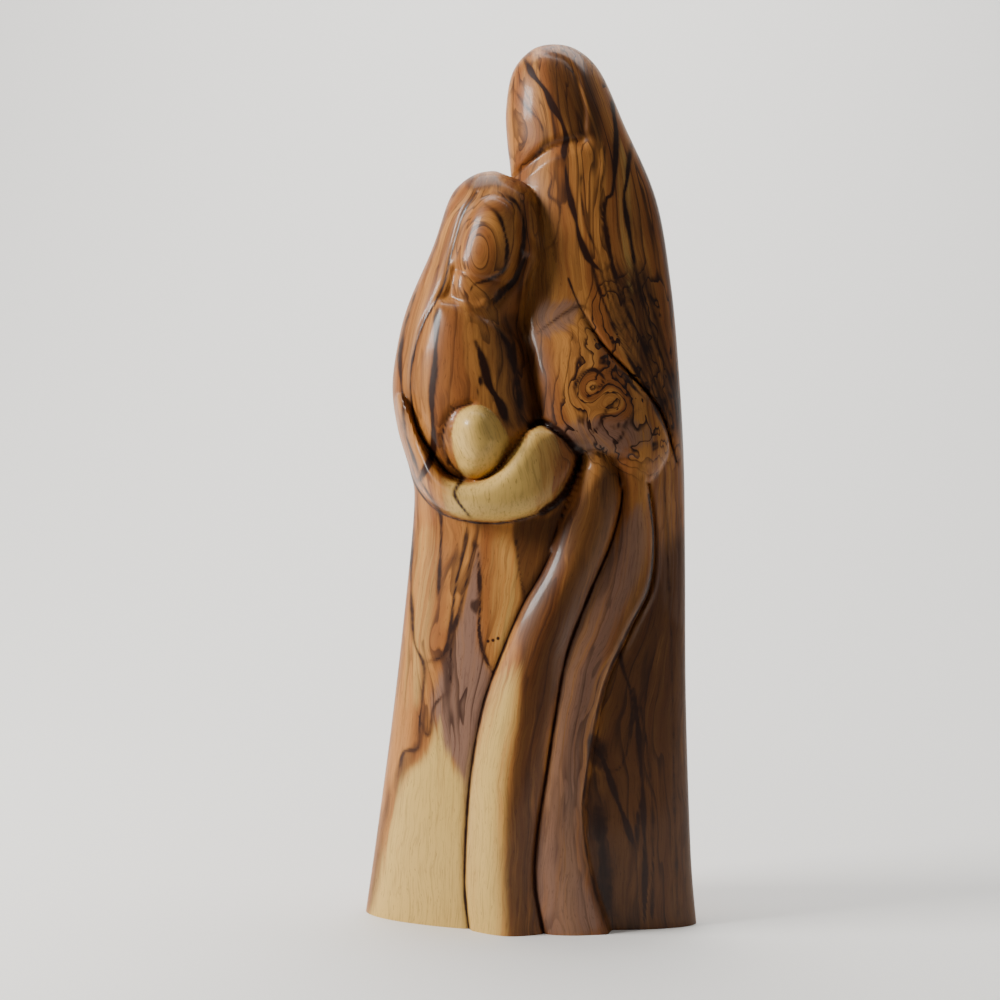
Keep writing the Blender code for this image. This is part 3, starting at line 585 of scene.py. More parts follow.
def over(below, above):
    """Lays one carved form over another; cuts in the lower one still show where the upper one has no height."""
    return np.maximum(below, above + np.minimum(below, 0.0))


def round_section(x, left, right, depth):
    """Half a round section between two edges, and far behind everything outside them."""
    t = (2.0 * x - left - right) / (right - left)
    rounded = depth * np.sqrt(np.clip(1.0 - t * t, 0.0, 1.0))
    return np.where(np.abs(t) <= 1.0 + EDGE_SLACK, rounded, FAR_BEHIND)


def blend(a, b, width):
    """The larger of two depths, with the corner between them eased."""
    t = np.clip(0.5 + 0.5 * (a - b) / width, 0.0, 1.0)
    return b + (a - b) * t + width * t * (1.0 - t)


def left_edge(z):
    return np.where(z <= VEIL_TOP, at_height(z, LEFT_EDGE), at_height(z, TALL_LEFT))


def right_edge(z):
    return at_height(z, RIGHT_EDGE)


def tall_figure(x, z, share):
    """Depth of the tall figure, to the front or the back."""
    left = at_height(z, TALL_LEFT)
    right = right_edge(z)
    return round_section(x, left, right, at_height(z, share) * 0.5 * (right - left))


def veiled_figure(x, z, depths, forward):
    """Depth of the veiled figure, whose hidden right side lets the two figures meet on the figure line."""
    left = at_height(z, LEFT_EDGE)
    meet = np.maximum(at_height(z, FIGURE_LINE), left + EASE)
    up = np.clip((z - VEIL_DOME_FROM) / (VEIL_TOP - VEIL_DOME_FROM), 0.0, 1.0)
    dome = np.sqrt(1.0 - up * up) + LEAST_DOME
    front = at_height(z, VEIL_FRONT) * dome
    share = np.clip((tall_figure(meet, z, TALL_FRONT) - VEIL_FORWARD) / front, 0.0, MOST_SHARE)
    half = (meet - left) / (1.0 + np.sqrt(1.0 - share ** 2))
    section = round_section(x, left, left + 2.0 * half, at_height(z, depths) * dome) + forward
    return np.where(z > VEIL_TOP, FAR_BEHIND, section)


def body_front(x, z):
    """The figures' round forms and the robe below the arms, without the carving on them."""
    upper = blend(tall_figure(x, z, TALL_FRONT), veiled_figure(x, z, VEIL_FRONT, VEIL_FORWARD), FRONT_BLEND)
    middle = at_height(z, FOLD_MIDDLE)
    last = np.maximum(at_height(z, FOLD_RIGHT), middle + LEAST_FOLD)
    depth = SKIRT_DEPTH + (ROBE_DEPTH - SKIRT_DEPTH) * ramp(x, middle, last)
    lower = round_section(x, left_edge(z), right_edge(z), depth)
    turn = ramp(z, *ROBE_TURNS)
    return turn * np.maximum(upper, 0.0) + (1.0 - turn) * lower


def body_back(x, z):
    """How far the plain back stands behind the widest line, with a shallow valley between the figures."""
    upper = blend(tall_figure(x, z, TALL_BACK), veiled_figure(x, z, VEIL_BACK, -VEIL_FORWARD), BACK_BLEND)
    lower = round_section(x, left_edge(z), right_edge(z), at_height(z, ROBE_BACK))
    turn = ramp(z, *BACK_TURNS)
    return turn * np.maximum(upper, -VEIL_FORWARD) + (1.0 - turn) * lower


def ridge(x, left, right, height):
    """A rounded ridge between two creases, and the share of the way across."""
    s = np.clip((x - left) / np.maximum(right - left, EASE), 0.0, 1.0)
    return FOLD_FOOT + height * (1.0 - np.abs(2.0 * s - 1.0) ** RIDGE_POWER), s


def folds(x, z, sizes):
    """The two long folds, side by side, the second ending in a step down to the robe."""
    left, middle, right = (at_height(z, line) for line in (FOLD_LEFT, FOLD_MIDDLE, FOLD_RIGHT))
    first, _ = ridge(x, left, middle, sizes.first_fold / STEP)
    second, s = ridge(x, middle, right, sizes.second_fold / STEP)
    side = ramp(x - middle, -0.5 * EASE, 0.5 * EASE)
    rise = first * (1.0 - side) + (second + sizes.last_step / STEP * s * s) * side
    rise = rise * ramp(x - left, 0.0, EASE) * (1.0 - ramp(x - right, 0.0, EASE))
    lip = LIP_HEIGHT * np.exp(-((x - right - LIP_BESIDE) / LIP_WIDTH) ** 2) * ramp(z, *LIP_STARTS)
    cuts = groove(x, z, FOLD_LEFT, FOLD_CUT) + groove(x, z, FOLD_MIDDLE, FOLD_CUT)
    cuts = cuts + groove(x, z, FOLD_RIGHT, LAST_FOLD_CUT)
    return (rise + cuts + lip) * (1.0 - ramp(z, *FOLDS_END))


def veiled_relief(x, z, sizes):
    """Veil opening with the smooth face and neck in it, and the chest below."""
    relief = -OPENING_DEPTH * ramp(inset(x, z, VEIL_OPENING), 0.0, OPENING_EASE)
    face = sizes.face / STEP * pillow(inset(x, z, VEILED_FACE), FACE_ROUND, SOFT_EASE)
    relief = relief + np.maximum(face, NECK_HEIGHT * pillow(inset(x, z, NECK), NECK_ROUND, SOFT_EASE))
    relief = relief + CHEST_HEIGHT * pillow(inset(x, z, CHEST), CHEST_ROUND, SOFT_EASE)
    return relief + groove(x, z, VEIL_BAND, BAND_CUT) + groove(x, z, VEIL_HOLLOW, HOLLOW_CUT)


def arm(x, z, sizes):
    """The crescent arm: steep above, where it cradles the baby, and fuller below."""
    above = pillow(distance(x, z, curve(ARM_UPPER)), ARM_ROUND_ABOVE)
    below = pillow(distance(x, z, curve(ARM_LOWER)), ARM_ROUND_BELOW)
    body = np.maximum(round_section(x, *ARM_SPAN, ARM_BODY) - body_front(x, z), 0.0)
    rise = sizes.arm / STEP * above * below + body * np.sqrt(above * below)
    return rise * ramp(inset(x, z, ARM), 0.0, ARM_EASE)


def baby(x, z, sizes):
    """The baby as one smooth form, with a faint egg for its head."""
    form = sizes.baby / STEP * pillow(inset(x, z, BABY), BABY_ROUND)
    form = form + BABY_HEAD_HEIGHT * egg(x, z, BABY_HEAD_CENTRE, BABY_HEAD_HALF)
    return form * (1.0 - ramp(inset(x, z, ARM), 0.0, EASE))


def sleeve(x, z, sizes):
    """The tall figure's sleeve, swelling toward its lower end."""
    return sizes.sleeve / STEP * pillow(inset(x, z, SLEEVE), SLEEVE_ROUND) * (1.0 - ramp(z, *SLEEVE_FADES))


def mantle(x, z):
    """The mantle edge that crosses the tall figure's chest down to the right."""
    beside = x - at_height(z, MANTLE_EDGE[::-1])
    step = MANTLE_STEP * ramp(beside, 0.0, EASE) * (1.0 - ramp(beside, *MANTLE_FADES))
    step = step * ramp(z, *MANTLE_STARTS) * (1.0 - ramp(z, *MANTLE_ENDS))
    return step + groove(x, z, MANTLE_EDGE, MANTLE_CUT) * (1.0 - ramp(z, *MANTLE_ENDS))


def head(x, z):
    """Hood edge, chin crease and collar of the tall figure, round a plain smooth face."""
    beside = x - at_height(z, HOOD_LINE[::-1])
    hood = HOOD_STEP * ramp(beside, *HOOD_RISES) * (1.0 - ramp(beside, *HOOD_FADES))
    hood = hood * ramp(z, *HOOD_STARTS) * (1.0 - ramp(z, *HOOD_ENDS))
    rise = z - at_side(x, CHIN_LINE)
    chin = np.where(rise > 0.0, np.exp(-(rise / CHIN_ROUND) ** 2), np.clip(1.0 + rise / COLLAR_DROP, 0.0, 1.0))
    chin = CHIN_DEPTH * chin * (1.0 - ramp(x, *CHIN_FADES))
    return (hood + groove(x, z, HOOD_LINE, HOOD_CUT) - chin) * ramp(z, *HEAD_STARTS)


def dents(x, ahead, z):
    """Small hollows where a knot or an old bark pocket breaks the surface."""
    across, down = seen_at(x * STEP, -ahead * STEP, z * STEP)
    depth = np.zeros(x.shape)
    for px, py, wide, high, deep in DENTS:
        depth += deep * np.exp(-((across - px) / wide) ** 2 - ((down - py) / high) ** 2)
    return depth


def front(x, z, sizes):
    """How far the carved front stands forward of the widest line."""
    left, right = left_edge(z), right_edge(z)
    t = (2.0 * x - left - right) / (right - left)
    turned = np.sqrt(np.clip(1.0 - t * t, 0.0, 1.0))
    relief = over(folds(x, z, sizes) + veiled_relief(x, z, sizes), sleeve(x, z, sizes)) + mantle(x, z)
    relief = over(relief, arm(x, z, sizes))
    relief = over(relief, baby(x, z, sizes))
    relief = relief + groove(x, z, ARM_TIP, ARM_CUT) + groove(x, z, BABY_LEFT, BABY_CUT)
    relief = relief + head(x, z) * ramp(x - at_height(z, FIGURE_LINE), 0.0, EASE)
    ahead = body_front(x, z) + relief * ramp(turned, *RELIEF_FADES)
    return ahead - dents(x, ahead, z) * turned


def slice_heights(rings):
    """Heights of the slices, closer together at the foot's rim, the arms and the tops of the two heads."""
    z = np.linspace(0.0, TOP, HEIGHT_SAMPLES)
    density = np.ones(z.shape)
    for up, reach, extra in CLOSER:
        density += extra * np.exp(-((z - up) / reach) ** 2)
    total = np.cumsum(density)
    even = np.interp(np.linspace(total[0], total[-1], rings + 1), total, z)[1:-1]
    rim = FOOT_RIM * (1.0 - np.cos(np.radians(RIM_ANGLES)))
    return np.concatenate([rim, even[even > RIM_CLEAR]])


def lean(x, z):
    """How far a slice is lowered beside the veil's top."""
    return -NOTCH_LEAN * ramp(x, *NOTCH_ACROSS) * np.exp(-((z - VEIL_TOP) / NOTCH_REACH) ** 2)


def slice_edge(z, edge):
    """Where a leaning slice meets one edge of the outline."""
    x = edge(z)
    for _ in range(EDGE_PASSES):
        x = edge(z + lean(x, z))
    return float(x)


def rising_curve(value, knots, results):
    """Smooth rising line through the knots."""
    step = np.diff(knots)
    slope = np.diff(results) / step
    between = 2.0 * slope[:-1] * slope[1:] / (slope[:-1] + slope[1:])
    slopes = np.concatenate([slope[:1], between, slope[-1:]])
    i = np.clip(np.searchsorted(knots, value, side="right") - 1, 0, len(step) - 1)
    t = (value - knots[i]) / step[i]
    ends = (2 * t ** 3 - 3 * t ** 2 + 1) * results[i] + (3 * t ** 2 - 2 * t ** 3) * results[i + 1]
    return ends + step[i] * ((t ** 3 - 2 * t ** 2 + t) * slopes[i] + (t ** 3 - t ** 2) * slopes[i + 1])


def column_places(z, share):
    """Places across one slice, close together at both edges and following the column lines between them."""
    above = z > VEIL_TOP
    left = slice_edge(z, (lambda up: at_height(up, TALL_LEFT)) if above else left_edge)
    right = slice_edge(z, right_edge)
    gap = COLUMN_RIGHT * (right - left)
    marks = [left - VEIL_SLOPE * (1.0 - ramp(z, *VEIL_LEAVES)) if above else left]
    for count, line in enumerate(COLUMN_LINES):
        least = marks[-1] + (gap if count else COLUMN_LEFT * (right - left))
        marks.append(float(np.clip(at_height(z, line), least, right - gap * (len(COLUMN_LINES) - count))))
    places = rising_curve(share, np.array([0.0, *COLUMN_SHARES, 1.0]), np.array([*marks, right]))
    if not above:
        return places
    return np.maximum(places, left + PRESSED_BAND * (right - left) * np.linspace(0.0, 1.0, len(share)))


def even_turn(count):
    """Shares of the way across, close together at both edges."""
    return 0.5 * (1.0 - np.cos(np.pi * np.arange(count + 1) / count))


def carved_rings(sizes):
    """Every slice as a ring of places: the front from left to right, then the back from right to left."""
    heights = slice_heights(sizes.rings)
    sides = []
    for count in (sizes.front, sizes.back):
        x = np.array([column_places(z, even_turn(count)) for z in heights])
        level = np.repeat(heights[:, None], count + 1, axis=1)
        sides.append((x, level + lean(x, level) * (level > FOOT_RIM)))
    (ahead_x, ahead_z), (back_x, back_z) = sides
    ahead = front(ahead_x, ahead_z, sizes)
    behind = np.maximum(body_back(back_x, back_z), LEAST_DEPTH)
    ahead[:, [0, -1]] = 0.5 * (ahead[:, [0, -1]] - behind[:, [0, -1]])
    rings = np.stack([np.hstack([ahead_x, back_x[:, -2:0:-1]]), np.hstack([-ahead, behind[:, -2:0:-1]]),
                      np.hstack([ahead_z, back_z[:, -2:0:-1]])], axis=2)
    for ring in rings[heights < FOOT_RIM]:
        pull = FOOT_RIM - np.sqrt(FOOT_RIM ** 2 - (FOOT_RIM - ring[0, 2]) ** 2)
        ring[:, :2] *= 1.0 - pull / np.linalg.norm(ring[:, :2], axis=1, keepdims=True)
    return rings


def seen_at(x, y, z):
    """Where the camera sees a place, in thousandths of the picture from its upper left corner."""
    away = (y - CAMERA_PLACE[1]) * CAMERA_SENSOR / CAMERA_FOCAL / PICTURE
    right = (x - CAMERA_PLACE[0]) / away
    up = (z - CAMERA_PLACE[2]) / away
    cos, sin = np.cos(np.radians(CAMERA_ROLL)), np.sin(np.radians(CAMERA_ROLL))
    return PICTURE / 2 + right * cos + up * sin, PICTURE / 2 + right * sin - up * cos


def wood_figure(places, middle):
    """How much of each colour of wood every place has, with some of it painted shade in creases and patches,
    and how far across the plank it lies.
    """
    across, down = seen_at(places[:, 0], np.minimum(places[:, 1], 0.0), places[:, 2])
    front_share = np.exp(-(np.maximum(places[:, 1], 0.0) / FIGURE_FADES) ** 2)
    near = front_share > LEAST_SHARE
    px, py = across[near], down[near]
    figure = {name: np.zeros(len(places)) for name in ("sapwood", "smoke", "heart", "veins_and_crease_shade", "figured", "burl")}
    for name, soft, strength, outline in PATCHES:
        amount = strength * ramp(inset(px, py, outline), -soft, soft)
        figure[name][near] = np.maximum(figure[name][near], amount)
    x, z = places[near, 0] / STEP + middle[0], places[near, 2] / STEP
    on_arm = ramp(inset(x, z, ARM), *SAP_EDGE) * ramp(x, *SAP_ON_ARM)
    # Less pale wood toward the arm's right end: partly browner wood, partly painted shade
    on_arm = on_arm * (1.0 - SAP_LOSS_AND_SHADE * ramp(x, *SAP_FADE_AND_SHADE_ON_ARM))
    on_baby = ramp(inset(x, z, BABY), *BABY_EDGE)
    pale = np.maximum(on_baby, on_arm)
    figure["sapwood"][near] = np.maximum(figure["sapwood"][near], pale)
    veins_and_crease_shade = np.zeros(len(px))
    turn_across, turn_down, turn_width = SWELL_TURNS
    for width, strength, points in VEINS + burl_streaks():
        line = curve(points, steps=5)
        strength = VEIN_EDGE * (strength / VEIN_EDGE) ** min(width / LEAST_VEIN, 1.0) ** 2
        width = max(width, LEAST_VEIN)
        low, high = line.min(axis=0) - VEIN_REACH * width, line.max(axis=0) + VEIN_REACH * width
        close = (px > low[0]) & (px < high[0]) & (py > low[1]) & (py < high[1])
        swell = 1.0 + VEIN_SWELL * np.sin(turn_across * px[close] + turn_down * py[close] + turn_width * width)
        amount = strength * np.exp(-(distance(px[close], py[close], line) / (width * swell)) ** 2)
        for end in (line[0], line[-1]):
            away = np.hypot(px[close] - end[0], py[close] - end[1])
            amount *= 1.0 - VEIN_TAPER * np.exp(-(away / TAPER_REACH) ** 2)
        veins_and_crease_shade[close] = np.maximum(veins_and_crease_shade[close], amount)
    # Painted shade along the creases and hollows, darkened like the veins
    for outline, wide, strength in CREASE_SHADE:
        amount = strength * np.exp(-(distance(x, z, curve(outline, steps=5)) / wide) ** 2)
        veins_and_crease_shade = np.maximum(veins_and_crease_shade, amount)
    figure["veins_and_crease_shade"][near] = veins_and_crease_shade * (1.0 - on_baby)
    for name in figure:
        figure[name] *= front_share
    figure["fibre"] = fibre_place(across, down)
    for px, py, wide, high, rise in EYES:
        figure["fibre"] += rise * front_share * np.exp(-((across - px) / wide) ** 2 - ((down - py) / high) ** 2)
    return figure


def burl_streaks():
    """Dark streaks that fan out between the two sides of the burl."""
    streaks = []
    along, across, strong = STREAK_TURNS
    least, more = STREAK_STRENGTH
    for share in np.linspace(0.0, 1.0, BURL_STREAKS):
        wave = STREAK_SWAY * np.sin(np.arange(len(BURL_LEFT)) * along + across * share)
        line = np.array(BURL_LEFT) * (1.0 - share) + np.array(BURL_RIGHT) * share
        line[:, 0] += wave * np.sin(np.pi * share)
        streaks.append((STREAK_WIDTH, least + more * np.cos(strong * share) ** 2, line))
    return streaks


def fibre_place(across, down):
    """Place across the plank, in thousandths of the picture, of the fibre that runs through each place."""
    order = [(level, at_height(down, points[::-1])) for level, points in FIBRE_LINES]
    plank = order[0][0] + (across - order[0][1])
    for (low, start), (high, end) in zip(order[:-1], order[1:]):
        width = np.maximum(end - start, LEAST_GAP)
        share = np.clip((across - start) / width, 0.0, 1.0)
        plank = plank + share * (high - low) - np.clip(across - start, 0.0, width)
    return plank


def carve(ball, rings):
    """Moves each ring of a ball onto its slice, and its two poles onto the foot and the top."""
    count, around = rings.shape[:2]
    mesh = ball.data
    places = np.empty(len(mesh.vertices) * 3)
    mesh.vertices.foreach_get("co", places)
    places = places.reshape(-1, 3) / np.linalg.norm(places.reshape(-1, 3), axis=1).max()
    row = np.round(np.arccos(np.clip(-places[:, 2], -1.0, 1.0)) / np.pi * (count + 1)).astype(int) - 1
    turn = np.arctan2(places[:, 1], places[:, 0]) / np.pi + 1.0
    column = np.round(turn * 0.5 * around).astype(int) % around
    moved = rings[np.clip(row, 0, count - 1), column]
    moved[row < 0] = (*rings[0].mean(axis=0)[:2], 0.0)
    moved[row >= count] = (*rings[-1].mean(axis=0)[:2], TOP)
    middle = 0.5 * (moved[:, :2].min(axis=0) + moved[:, :2].max(axis=0))
    moved[:, :2] -= middle
    moved = np.clip(moved * STEP, np.array(CAD_LOW), np.array(CAD_HIGH))
    mesh.vertices.foreach_set("co", moved.ravel())
    mesh.update()
    return moved, middle


def add_figure(mesh, figure):
    """Writes the wood's figure to the vertices."""
    for name, amounts in figure.items():
        mesh.attributes.new(name, "FLOAT", "POINT").data.foreach_set("value", amounts.astype(np.float32))


def linear(hex_colour):
    """Linear colour of an sRGB hex value."""
    values = [int(hex_colour[i:i + 2], 16) / 255.0 for i in (1, 3, 5)]
    return (*(v / 12.92 if v <= 0.04045 else ((v + 0.055) / 1.055) ** 2.4 for v in values), 1.0)


def add_node(tree, kind, inputs=None, output=0, **settings):
    """Adds one node with its settings, links or fills its inputs, and gives one of its outputs."""
    made = tree.nodes.new(kind)
    for name, value in settings.items():
        setattr(made, name, value)
    for socket, value in (inputs or {}).items():
        if isinstance(value, bpy.types.NodeSocket):
            tree.links.new(value, made.inputs[socket])
        else:
            made.inputs[socket].default_value = value
    return made.outputs[output]


def varnished_olive_wood(colours):
    """Olive wood, sanded and varnished: honey bands and near-black veins, with painted shade in the creases and
    worm holes, under a thin, half-gloss coat.
    """
    material = bpy.data.materials.new("varnished_olive_wood")
    material.use_nodes = True
    tree = material.node_tree
    shader = tree.nodes["Principled BSDF"]
    add = partial(add_node, tree)
    smooth = {"interpolation_type": "SMOOTHSTEP"}
    rgba = {"data_type": "RGBA"}
    names = ("honey", "amber", "heart", "sapwood", "smoke", "vein")
    wood = {name: linear(getattr(colours, name)) for name in names}
    place = add("ShaderNodeTexCoord", output="Object")
    through = add("ShaderNodeSeparateXYZ", {0: place}, 1)
    along = add("ShaderNodeSeparateXYZ", {0: place}, 2)
    given = {name: add("ShaderNodeAttribute", output="Fac", attribute_name=name)
             for name in ("sapwood", "smoke", "heart", "veins_and_crease_shade", "figured", "burl", "fibre")}
    # The fibres' own coordinates in metres: across the plank, through it, and along it
    fibre = add("ShaderNodeMath", {0: given["fibre"], 1: PLANK_STEP}, operation="MULTIPLY")
    wander = add("ShaderNodeTexNoise", {"Vector": place, "Scale": 1.0 / (22 * MM), "Detail": 2.0}, "Fac")
    bent = add("ShaderNodeMath", {0: wander, 1: 7.0 * MM, 2: fibre}, operation="MULTIPLY_ADD")
    plank = add("ShaderNodeCombineXYZ", {0: bent, 1: through, 2: along})

    def streaks(width, length, depth, detail):
        """Noise drawn out along the fibres, with the width, length and depth of one streak."""
        scaled = add("ShaderNodeMapping", {"Vector": plank, "Scale": (1 / width, 1 / depth, 1 / length)})
        noise = {"Vector": scaled, "Scale": 1.0, "Detail": detail, "Roughness": 0.6}
        return add("ShaderNodeTexNoise", noise, "Fac")

    # Growth bands about 7 mm wide, finer ones of 2 mm, and fibres of a third of a millimetre, drawn coarser
    # than real ones so that they show
    bands = streaks(7 * MM, 120 * MM, 14 * MM, 3.0)
    lines = streaks(1.8 * MM, 60 * MM, 5 * MM, 3.0)
    fibres = streaks(0.35 * MM, 9 * MM, 1 * MM, 2.0)
    edges = add("ShaderNodeTexNoise", {"Vector": place, "Scale": 1.0 / (5 * MM), "Detail": 4.0}, "Fac")
    spread = add("ShaderNodeMapRange", {0: bands, 1: 0.36, 2: 0.64}, **smooth)
    colour = add("ShaderNodeMix", {0: spread, 6: wood["honey"], 7: wood["amber"]}, 2, **rgba)
    spread = add("ShaderNodeMapRange", {0: lines, 1: 0.56, 2: 0.7, 4: 0.35}, **smooth)
    colour = add("ShaderNodeMix", {0: spread, 6: colour, 7: wood["heart"]}, 2, **rgba)

    # Patches of the other woods, with edges that break up along the fibres
    for name, most in (("heart", 0.85), ("smoke", 0.9), ("sapwood", 0.95)):
        ragged = add("ShaderNodeMath", {0: lines, 1: 1.8, 2: given[name]}, operation="MULTIPLY_ADD")
        spread = add("ShaderNodeMapRange", {0: ragged, 1: 1.05, 2: 1.75, 4: most}, **smooth)
        amount = add("ShaderNodeMath", {0: spread, 1: given[name]}, operation="MULTIPLY")
        colour = add("ShaderNodeMix", {0: amount, 6: colour, 7: wood[name]}, 2, **rgba)

    # Growth rings about 7 mm apart, each darkening slowly and ending at a sharp line; the burl curls them
    slow = streaks(16 * MM, 110 * MM, 12 * MM, 3.0)
    curls = add("ShaderNodeTexNoise", {"Vector": place, "Scale": 1.0 / (13 * MM), "Detail": 3.0,
                                       "Distortion": 0.8}, "Fac")
    curled = add("ShaderNodeMath", {0: curls, 1: given["burl"]}, operation="MULTIPLY")
    turns = add("ShaderNodeMath", {0: fibre, 1: 1.0 / (7 * MM)}, operation="MULTIPLY")
    turns = add("ShaderNodeMath", {0: slow, 1: 6.0, 2: turns}, operation="MULTIPLY_ADD")
    turns = add("ShaderNodeMath", {0: curled, 1: 4.0, 2: turns}, operation="MULTIPLY_ADD")
    ring = add("ShaderNodeMath", {0: turns}, operation="FRACT")
    rise = add("ShaderNodeMapRange", {0: ring, 1: 0.66, 2: 0.96}, **smooth)
    fall = add("ShaderNodeMapRange", {0: ring, 1: 0.97, 2: 1.0, 3: 1.0, 4: 0.0})
    late = add("ShaderNodeMath", {0: rise, 1: fall}, operation="MULTIPLY")
    often = add("ShaderNodeMapRange", {0: bands, 1: 0.38, 2: 0.62, 3: 0.12, 4: 0.5})
    often = add("ShaderNodeMath", {0: given["figured"], 1: 0.45, 2: often}, operation="MULTIPLY_ADD")
    plain = add("ShaderNodeMath", {0: 1.0, 1: given["sapwood"]}, operation="SUBTRACT")
    often = add("ShaderNodeMath", {0: given["burl"], 1: 0.35, 2: often}, operation="MULTIPLY_ADD")
    often = add("ShaderNodeMath", {0: often, 1: plain}, operation="MULTIPLY")
    wild = add("ShaderNodeMath", {0: late, 1: often}, operation="MULTIPLY")

    # Veins listed one by one, and the painted shade in the creases: a brown halo and a ragged dark core
    ragged = add("ShaderNodeMath", {0: edges, 1: 0.8, 2: given["veins_and_crease_shade"]}, operation="MULTIPLY_ADD")
    core = add("ShaderNodeMapRange", {0: ragged, 1: 0.73, 2: 1.12}, **smooth)
    inside = add("ShaderNodeMapRange", {0: given["veins_and_crease_shade"], 1: 0.1, 2: 0.4}, **smooth)
    placed = add("ShaderNodeMath", {0: core, 1: inside}, operation="MULTIPLY")
    halo = add("ShaderNodeMapRange", {0: given["veins_and_crease_shade"], 1: 0.05, 2: 0.65, 4: 0.55}, **smooth)
    colour = add("ShaderNodeMix", {0: halo, 6: colour, 7: wood["heart"]}, 2, **rgba)
    dark = add("ShaderNodeMath", {0: wild, 1: placed}, operation="MAXIMUM")
    colour = add("ShaderNodeMix", {0: dark, 6: colour, 7: wood["vein"]}, 2, **rgba)
    spread = add("ShaderNodeMapRange", {0: fibres, 1: 0.45, 2: 0.75, 4: 0.3}, **smooth)
    colour = add("ShaderNodeMix", {0: spread, 6: colour, 7: wood["heart"]}, 2, **rgba, blend_type="MULTIPLY")

    # Vessels: short dark dashes 2 mm long, a quarter of a millimetre wide and so coarser than real ones
    pores = streaks(0.28 * MM, 2.2 * MM, 0.6 * MM, 1.0)
    spread = add("ShaderNodeMapRange", {0: pores, 1: 0.64, 2: 0.74, 4: 0.35}, **smooth)
    colour = add("ShaderNodeMix", {0: spread, 6: colour, 7: wood["vein"]}, 2, **rgba)

    # Worm holes about a millimetre across, bored in from the front: painted shade in dark spots, with no hole
    # cut in the surface
    bored = add("ShaderNodeVectorMath", {0: place, 1: HOLE_STRETCH}, operation="MULTIPLY")
    for px, py in WORM_HOLES:
        centre = worm_hole_place(px, py) * np.array(HOLE_STRETCH)
        far = add("ShaderNodeVectorMath", {0: bored, 1: centre}, "Value", operation="DISTANCE")
        hole_shade = add("ShaderNodeMapRange", {0: far, 1: HOLE_RADII[0], 2: HOLE_RADII[1], 3: 1.0, 4: 0.0})
        colour = add("ShaderNodeMix", {0: hole_shade, 6: colour, 7: wood["vein"]}, 2, **rgba)

    tree.links.new(colour, shader.inputs["Base Color"])
    rough = add("ShaderNodeMapRange", {0: fibres, 1: 0.3, 2: 0.7, 3: colours.gloss, 4: colours.gloss + 0.1})
    tree.links.new(rough, shader.inputs["Roughness"])
    # A weak gleam of the wood itself, and over it a thin coat with a sharper one
    for name, value in (("IOR", 1.5), ("Specular IOR Level", 0.2), ("Coat Weight", 0.15),
                        ("Coat Roughness", 0.12)):
        shader.inputs[name].default_value = value
    # Low waves from sanding by hand, and fibres and vessels just deep enough to feel
    hand = add("ShaderNodeTexNoise", {"Vector": place, "Scale": 1.0 / (9 * MM), "Detail": 1.0}, "Fac")
    sanded = add("ShaderNodeBump", {"Height": hand, "Distance": 0.3 * MM, "Strength": 0.5})
    fine = add("ShaderNodeMath", {0: fibres, 1: pores}, operation="SUBTRACT")
    grained = add("ShaderNodeBump", {"Height": fine, "Distance": 0.05 * MM, "Strength": 0.35,
                                     "Normal": sanded})
    tree.links.new(grained, shader.inputs["Normal"])
    return material


def worm_hole_place(px, py):
    """Place on the skirt's surface that the camera sees at a place in the picture."""
    away = -CAMERA_PLACE[1] - HOLE_AHEAD * STEP
    cos, sin = np.cos(np.radians(CAMERA_ROLL)), np.sin(np.radians(CAMERA_ROLL))
    px, py = px - PICTURE / 2, py - PICTURE / 2
    right, up = px * cos + py * sin, px * sin - py * cos
    each = away * CAMERA_SENSOR / CAMERA_FOCAL / PICTURE
    return np.array((CAMERA_PLACE[0] + right * each, CAMERA_PLACE[1] + away, CAMERA_PLACE[2] + up * each))


class CARVING_OT_carve(bpy.types.Operator):
    """Carve the group from a ball and dress it in olive wood"""

    bl_idname = "carving.carve"
    bl_label = "Carve the group"

    def execute(self, context):
        sizes = context.scene.carving_sizes
        rings = carved_rings(sizes)
        bpy.ops.object.select_all(action="DESELECT")
        bpy.ops.mesh.primitive_uv_sphere_add(segments=rings.shape[1], ring_count=rings.shape[0] + 1, radius=1.0)
        carving = context.view_layer.objects.active
        carving.name = "carved_group"
        places, middle = carve(carving, rings)
        add_figure(carving.data, wood_figure(places, middle))
        bpy.ops.object.shade_smooth_by_angle(angle=np.radians(SMOOTH_BELOW))
        carving.data.materials.append(varnished_olive_wood(context.scene.carving_wood))
        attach(carving, "root")
        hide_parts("carving")
        return {"FINISHED"}


def add_area_light(name, power, place, target, size, colour):
    """A soft square light turned toward a place."""
    data = bpy.data.lights.new(name, "AREA")
    data.size = size
    data.energy = power
    data.color = colour
    light = bpy.data.objects.new(name, data)
    bpy.context.scene.collection.objects.link(light)
    light.location = place
    aim = Vector(target) - light.location
    light.rotation_euler = aim.to_track_quat("-Z", "Y").to_euler()


def sweep(mesh):
    """Turns the flat floor up behind the carving in one wide bend."""
    bend = bmesh.new()
    bend.from_mesh(mesh)
    bmesh.ops.subdivide_edges(bend, edges=bend.edges, cuts=FLOOR_CUTS, use_grid_fill=True)
    for vertex in bend.verts:
        beyond = max(vertex.co.y - SWEEP_STARTS, 0.0)
        angle = min(beyond / SWEEP_RADIUS, np.pi / 2)
        vertex.co.y = min(vertex.co.y, SWEEP_STARTS) + SWEEP_RADIUS * np.sin(angle)
        vertex.co.z = SWEEP_RADIUS * (1.0 - np.cos(angle)) + max(beyond - SWEEP_RADIUS * np.pi / 2, 0.0)
    bend.to_mesh(mesh)
    bend.free()
    mesh.shade_smooth()


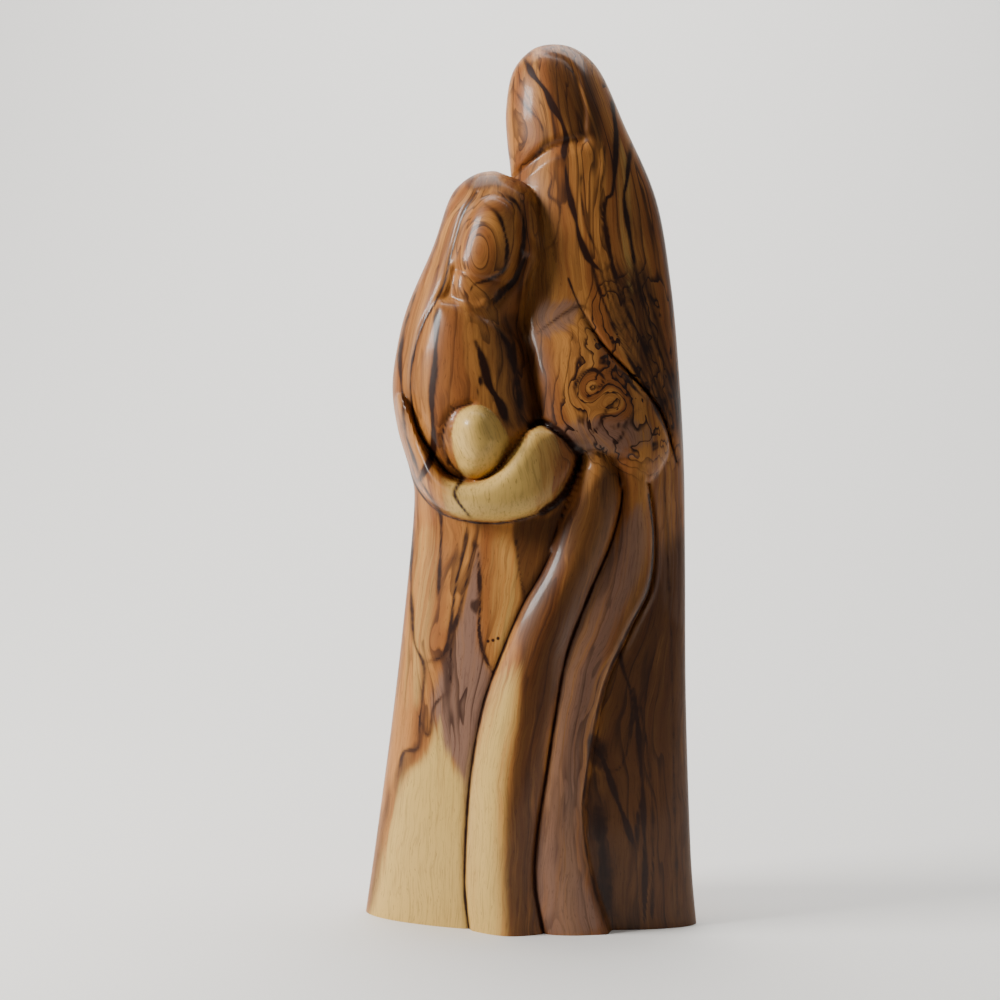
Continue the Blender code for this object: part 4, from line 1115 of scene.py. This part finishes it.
class CARVING_OT_stage(bpy.types.Operator):
    """Add the pale floor, the soft lights and the camera"""

    bl_idname = "carving.stage"
    bl_label = "Set the stage"

    def execute(self, context):
        stage = context.scene.carving_stage
        bpy.ops.object.select_all(action="DESELECT")
        bpy.ops.mesh.primitive_plane_add(size=FLOOR_SIZE, location=(0.0, 0.5 * FLOOR_SIZE + FLOOR_STARTS, 0.0))
        bpy.ops.object.transform_apply()
        floor = context.view_layer.objects.active
        floor.name = "floor"
        sweep(floor.data)
        # Matt paper: an even, pale ground without a gleam
        paper = bpy.data.materials.new("matt_paper")
        paper.use_nodes = True
        shader = paper.node_tree.nodes["Principled BSDF"]
        shader.inputs["Base Color"].default_value = linear(stage.floor)
        shader.inputs["Roughness"].default_value = PAPER_ROUGHNESS
        floor.data.materials.append(paper)
        world = bpy.data.worlds.new("studio")
        world.use_nodes = True
        tree = world.node_tree
        air = tree.nodes["Background"]
        air.inputs["Color"].default_value = linear(AIR_COLOUR)
        seen = add_node(tree, "ShaderNodeLightPath", output="Is Camera Ray")
        strength = add_node(tree, "ShaderNodeMapRange", {0: seen, 3: stage.sky, 4: stage.wall})
        tree.links.new(strength, air.inputs["Strength"])
        context.scene.world = world
        for name, power in (("window", stage.key), ("fill", stage.fill), ("backdrop", stage.backdrop)):
            add_area_light(name, power, *LIGHTS[name])
        lens = bpy.data.cameras.new("camera")
        lens.sensor_width = CAMERA_SENSOR
        lens.lens = stage.focal
        lens.clip_start = CAMERA_NEAR
        camera = bpy.data.objects.new("camera", lens)
        context.scene.collection.objects.link(camera)
        roll = np.radians(CAMERA_ROLL)
        camera.matrix_world = Matrix.Translation(CAMERA_PLACE) @ Matrix((
            (np.cos(roll), -np.sin(roll), 0.0, 0.0),
            (0.0, 0.0, -1.0, 0.0),
            (np.sin(roll), np.cos(roll), 0.0, 0.0),
            (0.0, 0.0, 0.0, 1.0),
        ))
        context.scene.camera = camera
        return {"FINISHED"}


class CARVING_PT_panel(bpy.types.Panel):
    """Lists the carving's sizes, colours and steps"""

    bl_idname = "CARVING_PT_panel"
    bl_label = "Olive wood carving"
    bl_space_type = "VIEW_3D"
    bl_region_type = "UI"
    bl_category = "Carving"

    def draw(self, context):
        for group, operator in (("carving_sizes", "carving.carve"), ("carving_wood", None),
                                ("carving_stage", "carving.stage")):
            settings = getattr(context.scene, group)
            box = self.layout.box()
            for name in settings.__annotations__:
                box.prop(settings, name)
            if operator:
                box.operator(operator)


CLASSES = (CarvingSizes, WoodColours, StageSettings, CARVING_OT_carve, CARVING_OT_stage, CARVING_PT_panel)
GROUPS = {"carving_sizes": CarvingSizes, "carving_wood": WoodColours, "carving_stage": StageSettings}


def register():
    for each in CLASSES:
        bpy.utils.register_class(each)
    for name, group in GROUPS.items():
        setattr(bpy.types.Scene, name, bpy.props.PointerProperty(type=group))


def unregister():
    for name in GROUPS:
        delattr(bpy.types.Scene, name)
    for each in reversed(CLASSES):
        bpy.utils.unregister_class(each)


def main():
    register()
    bpy.ops.carving.carve()
    bpy.ops.carving.stage()


if __name__ == "__main__":
    main()
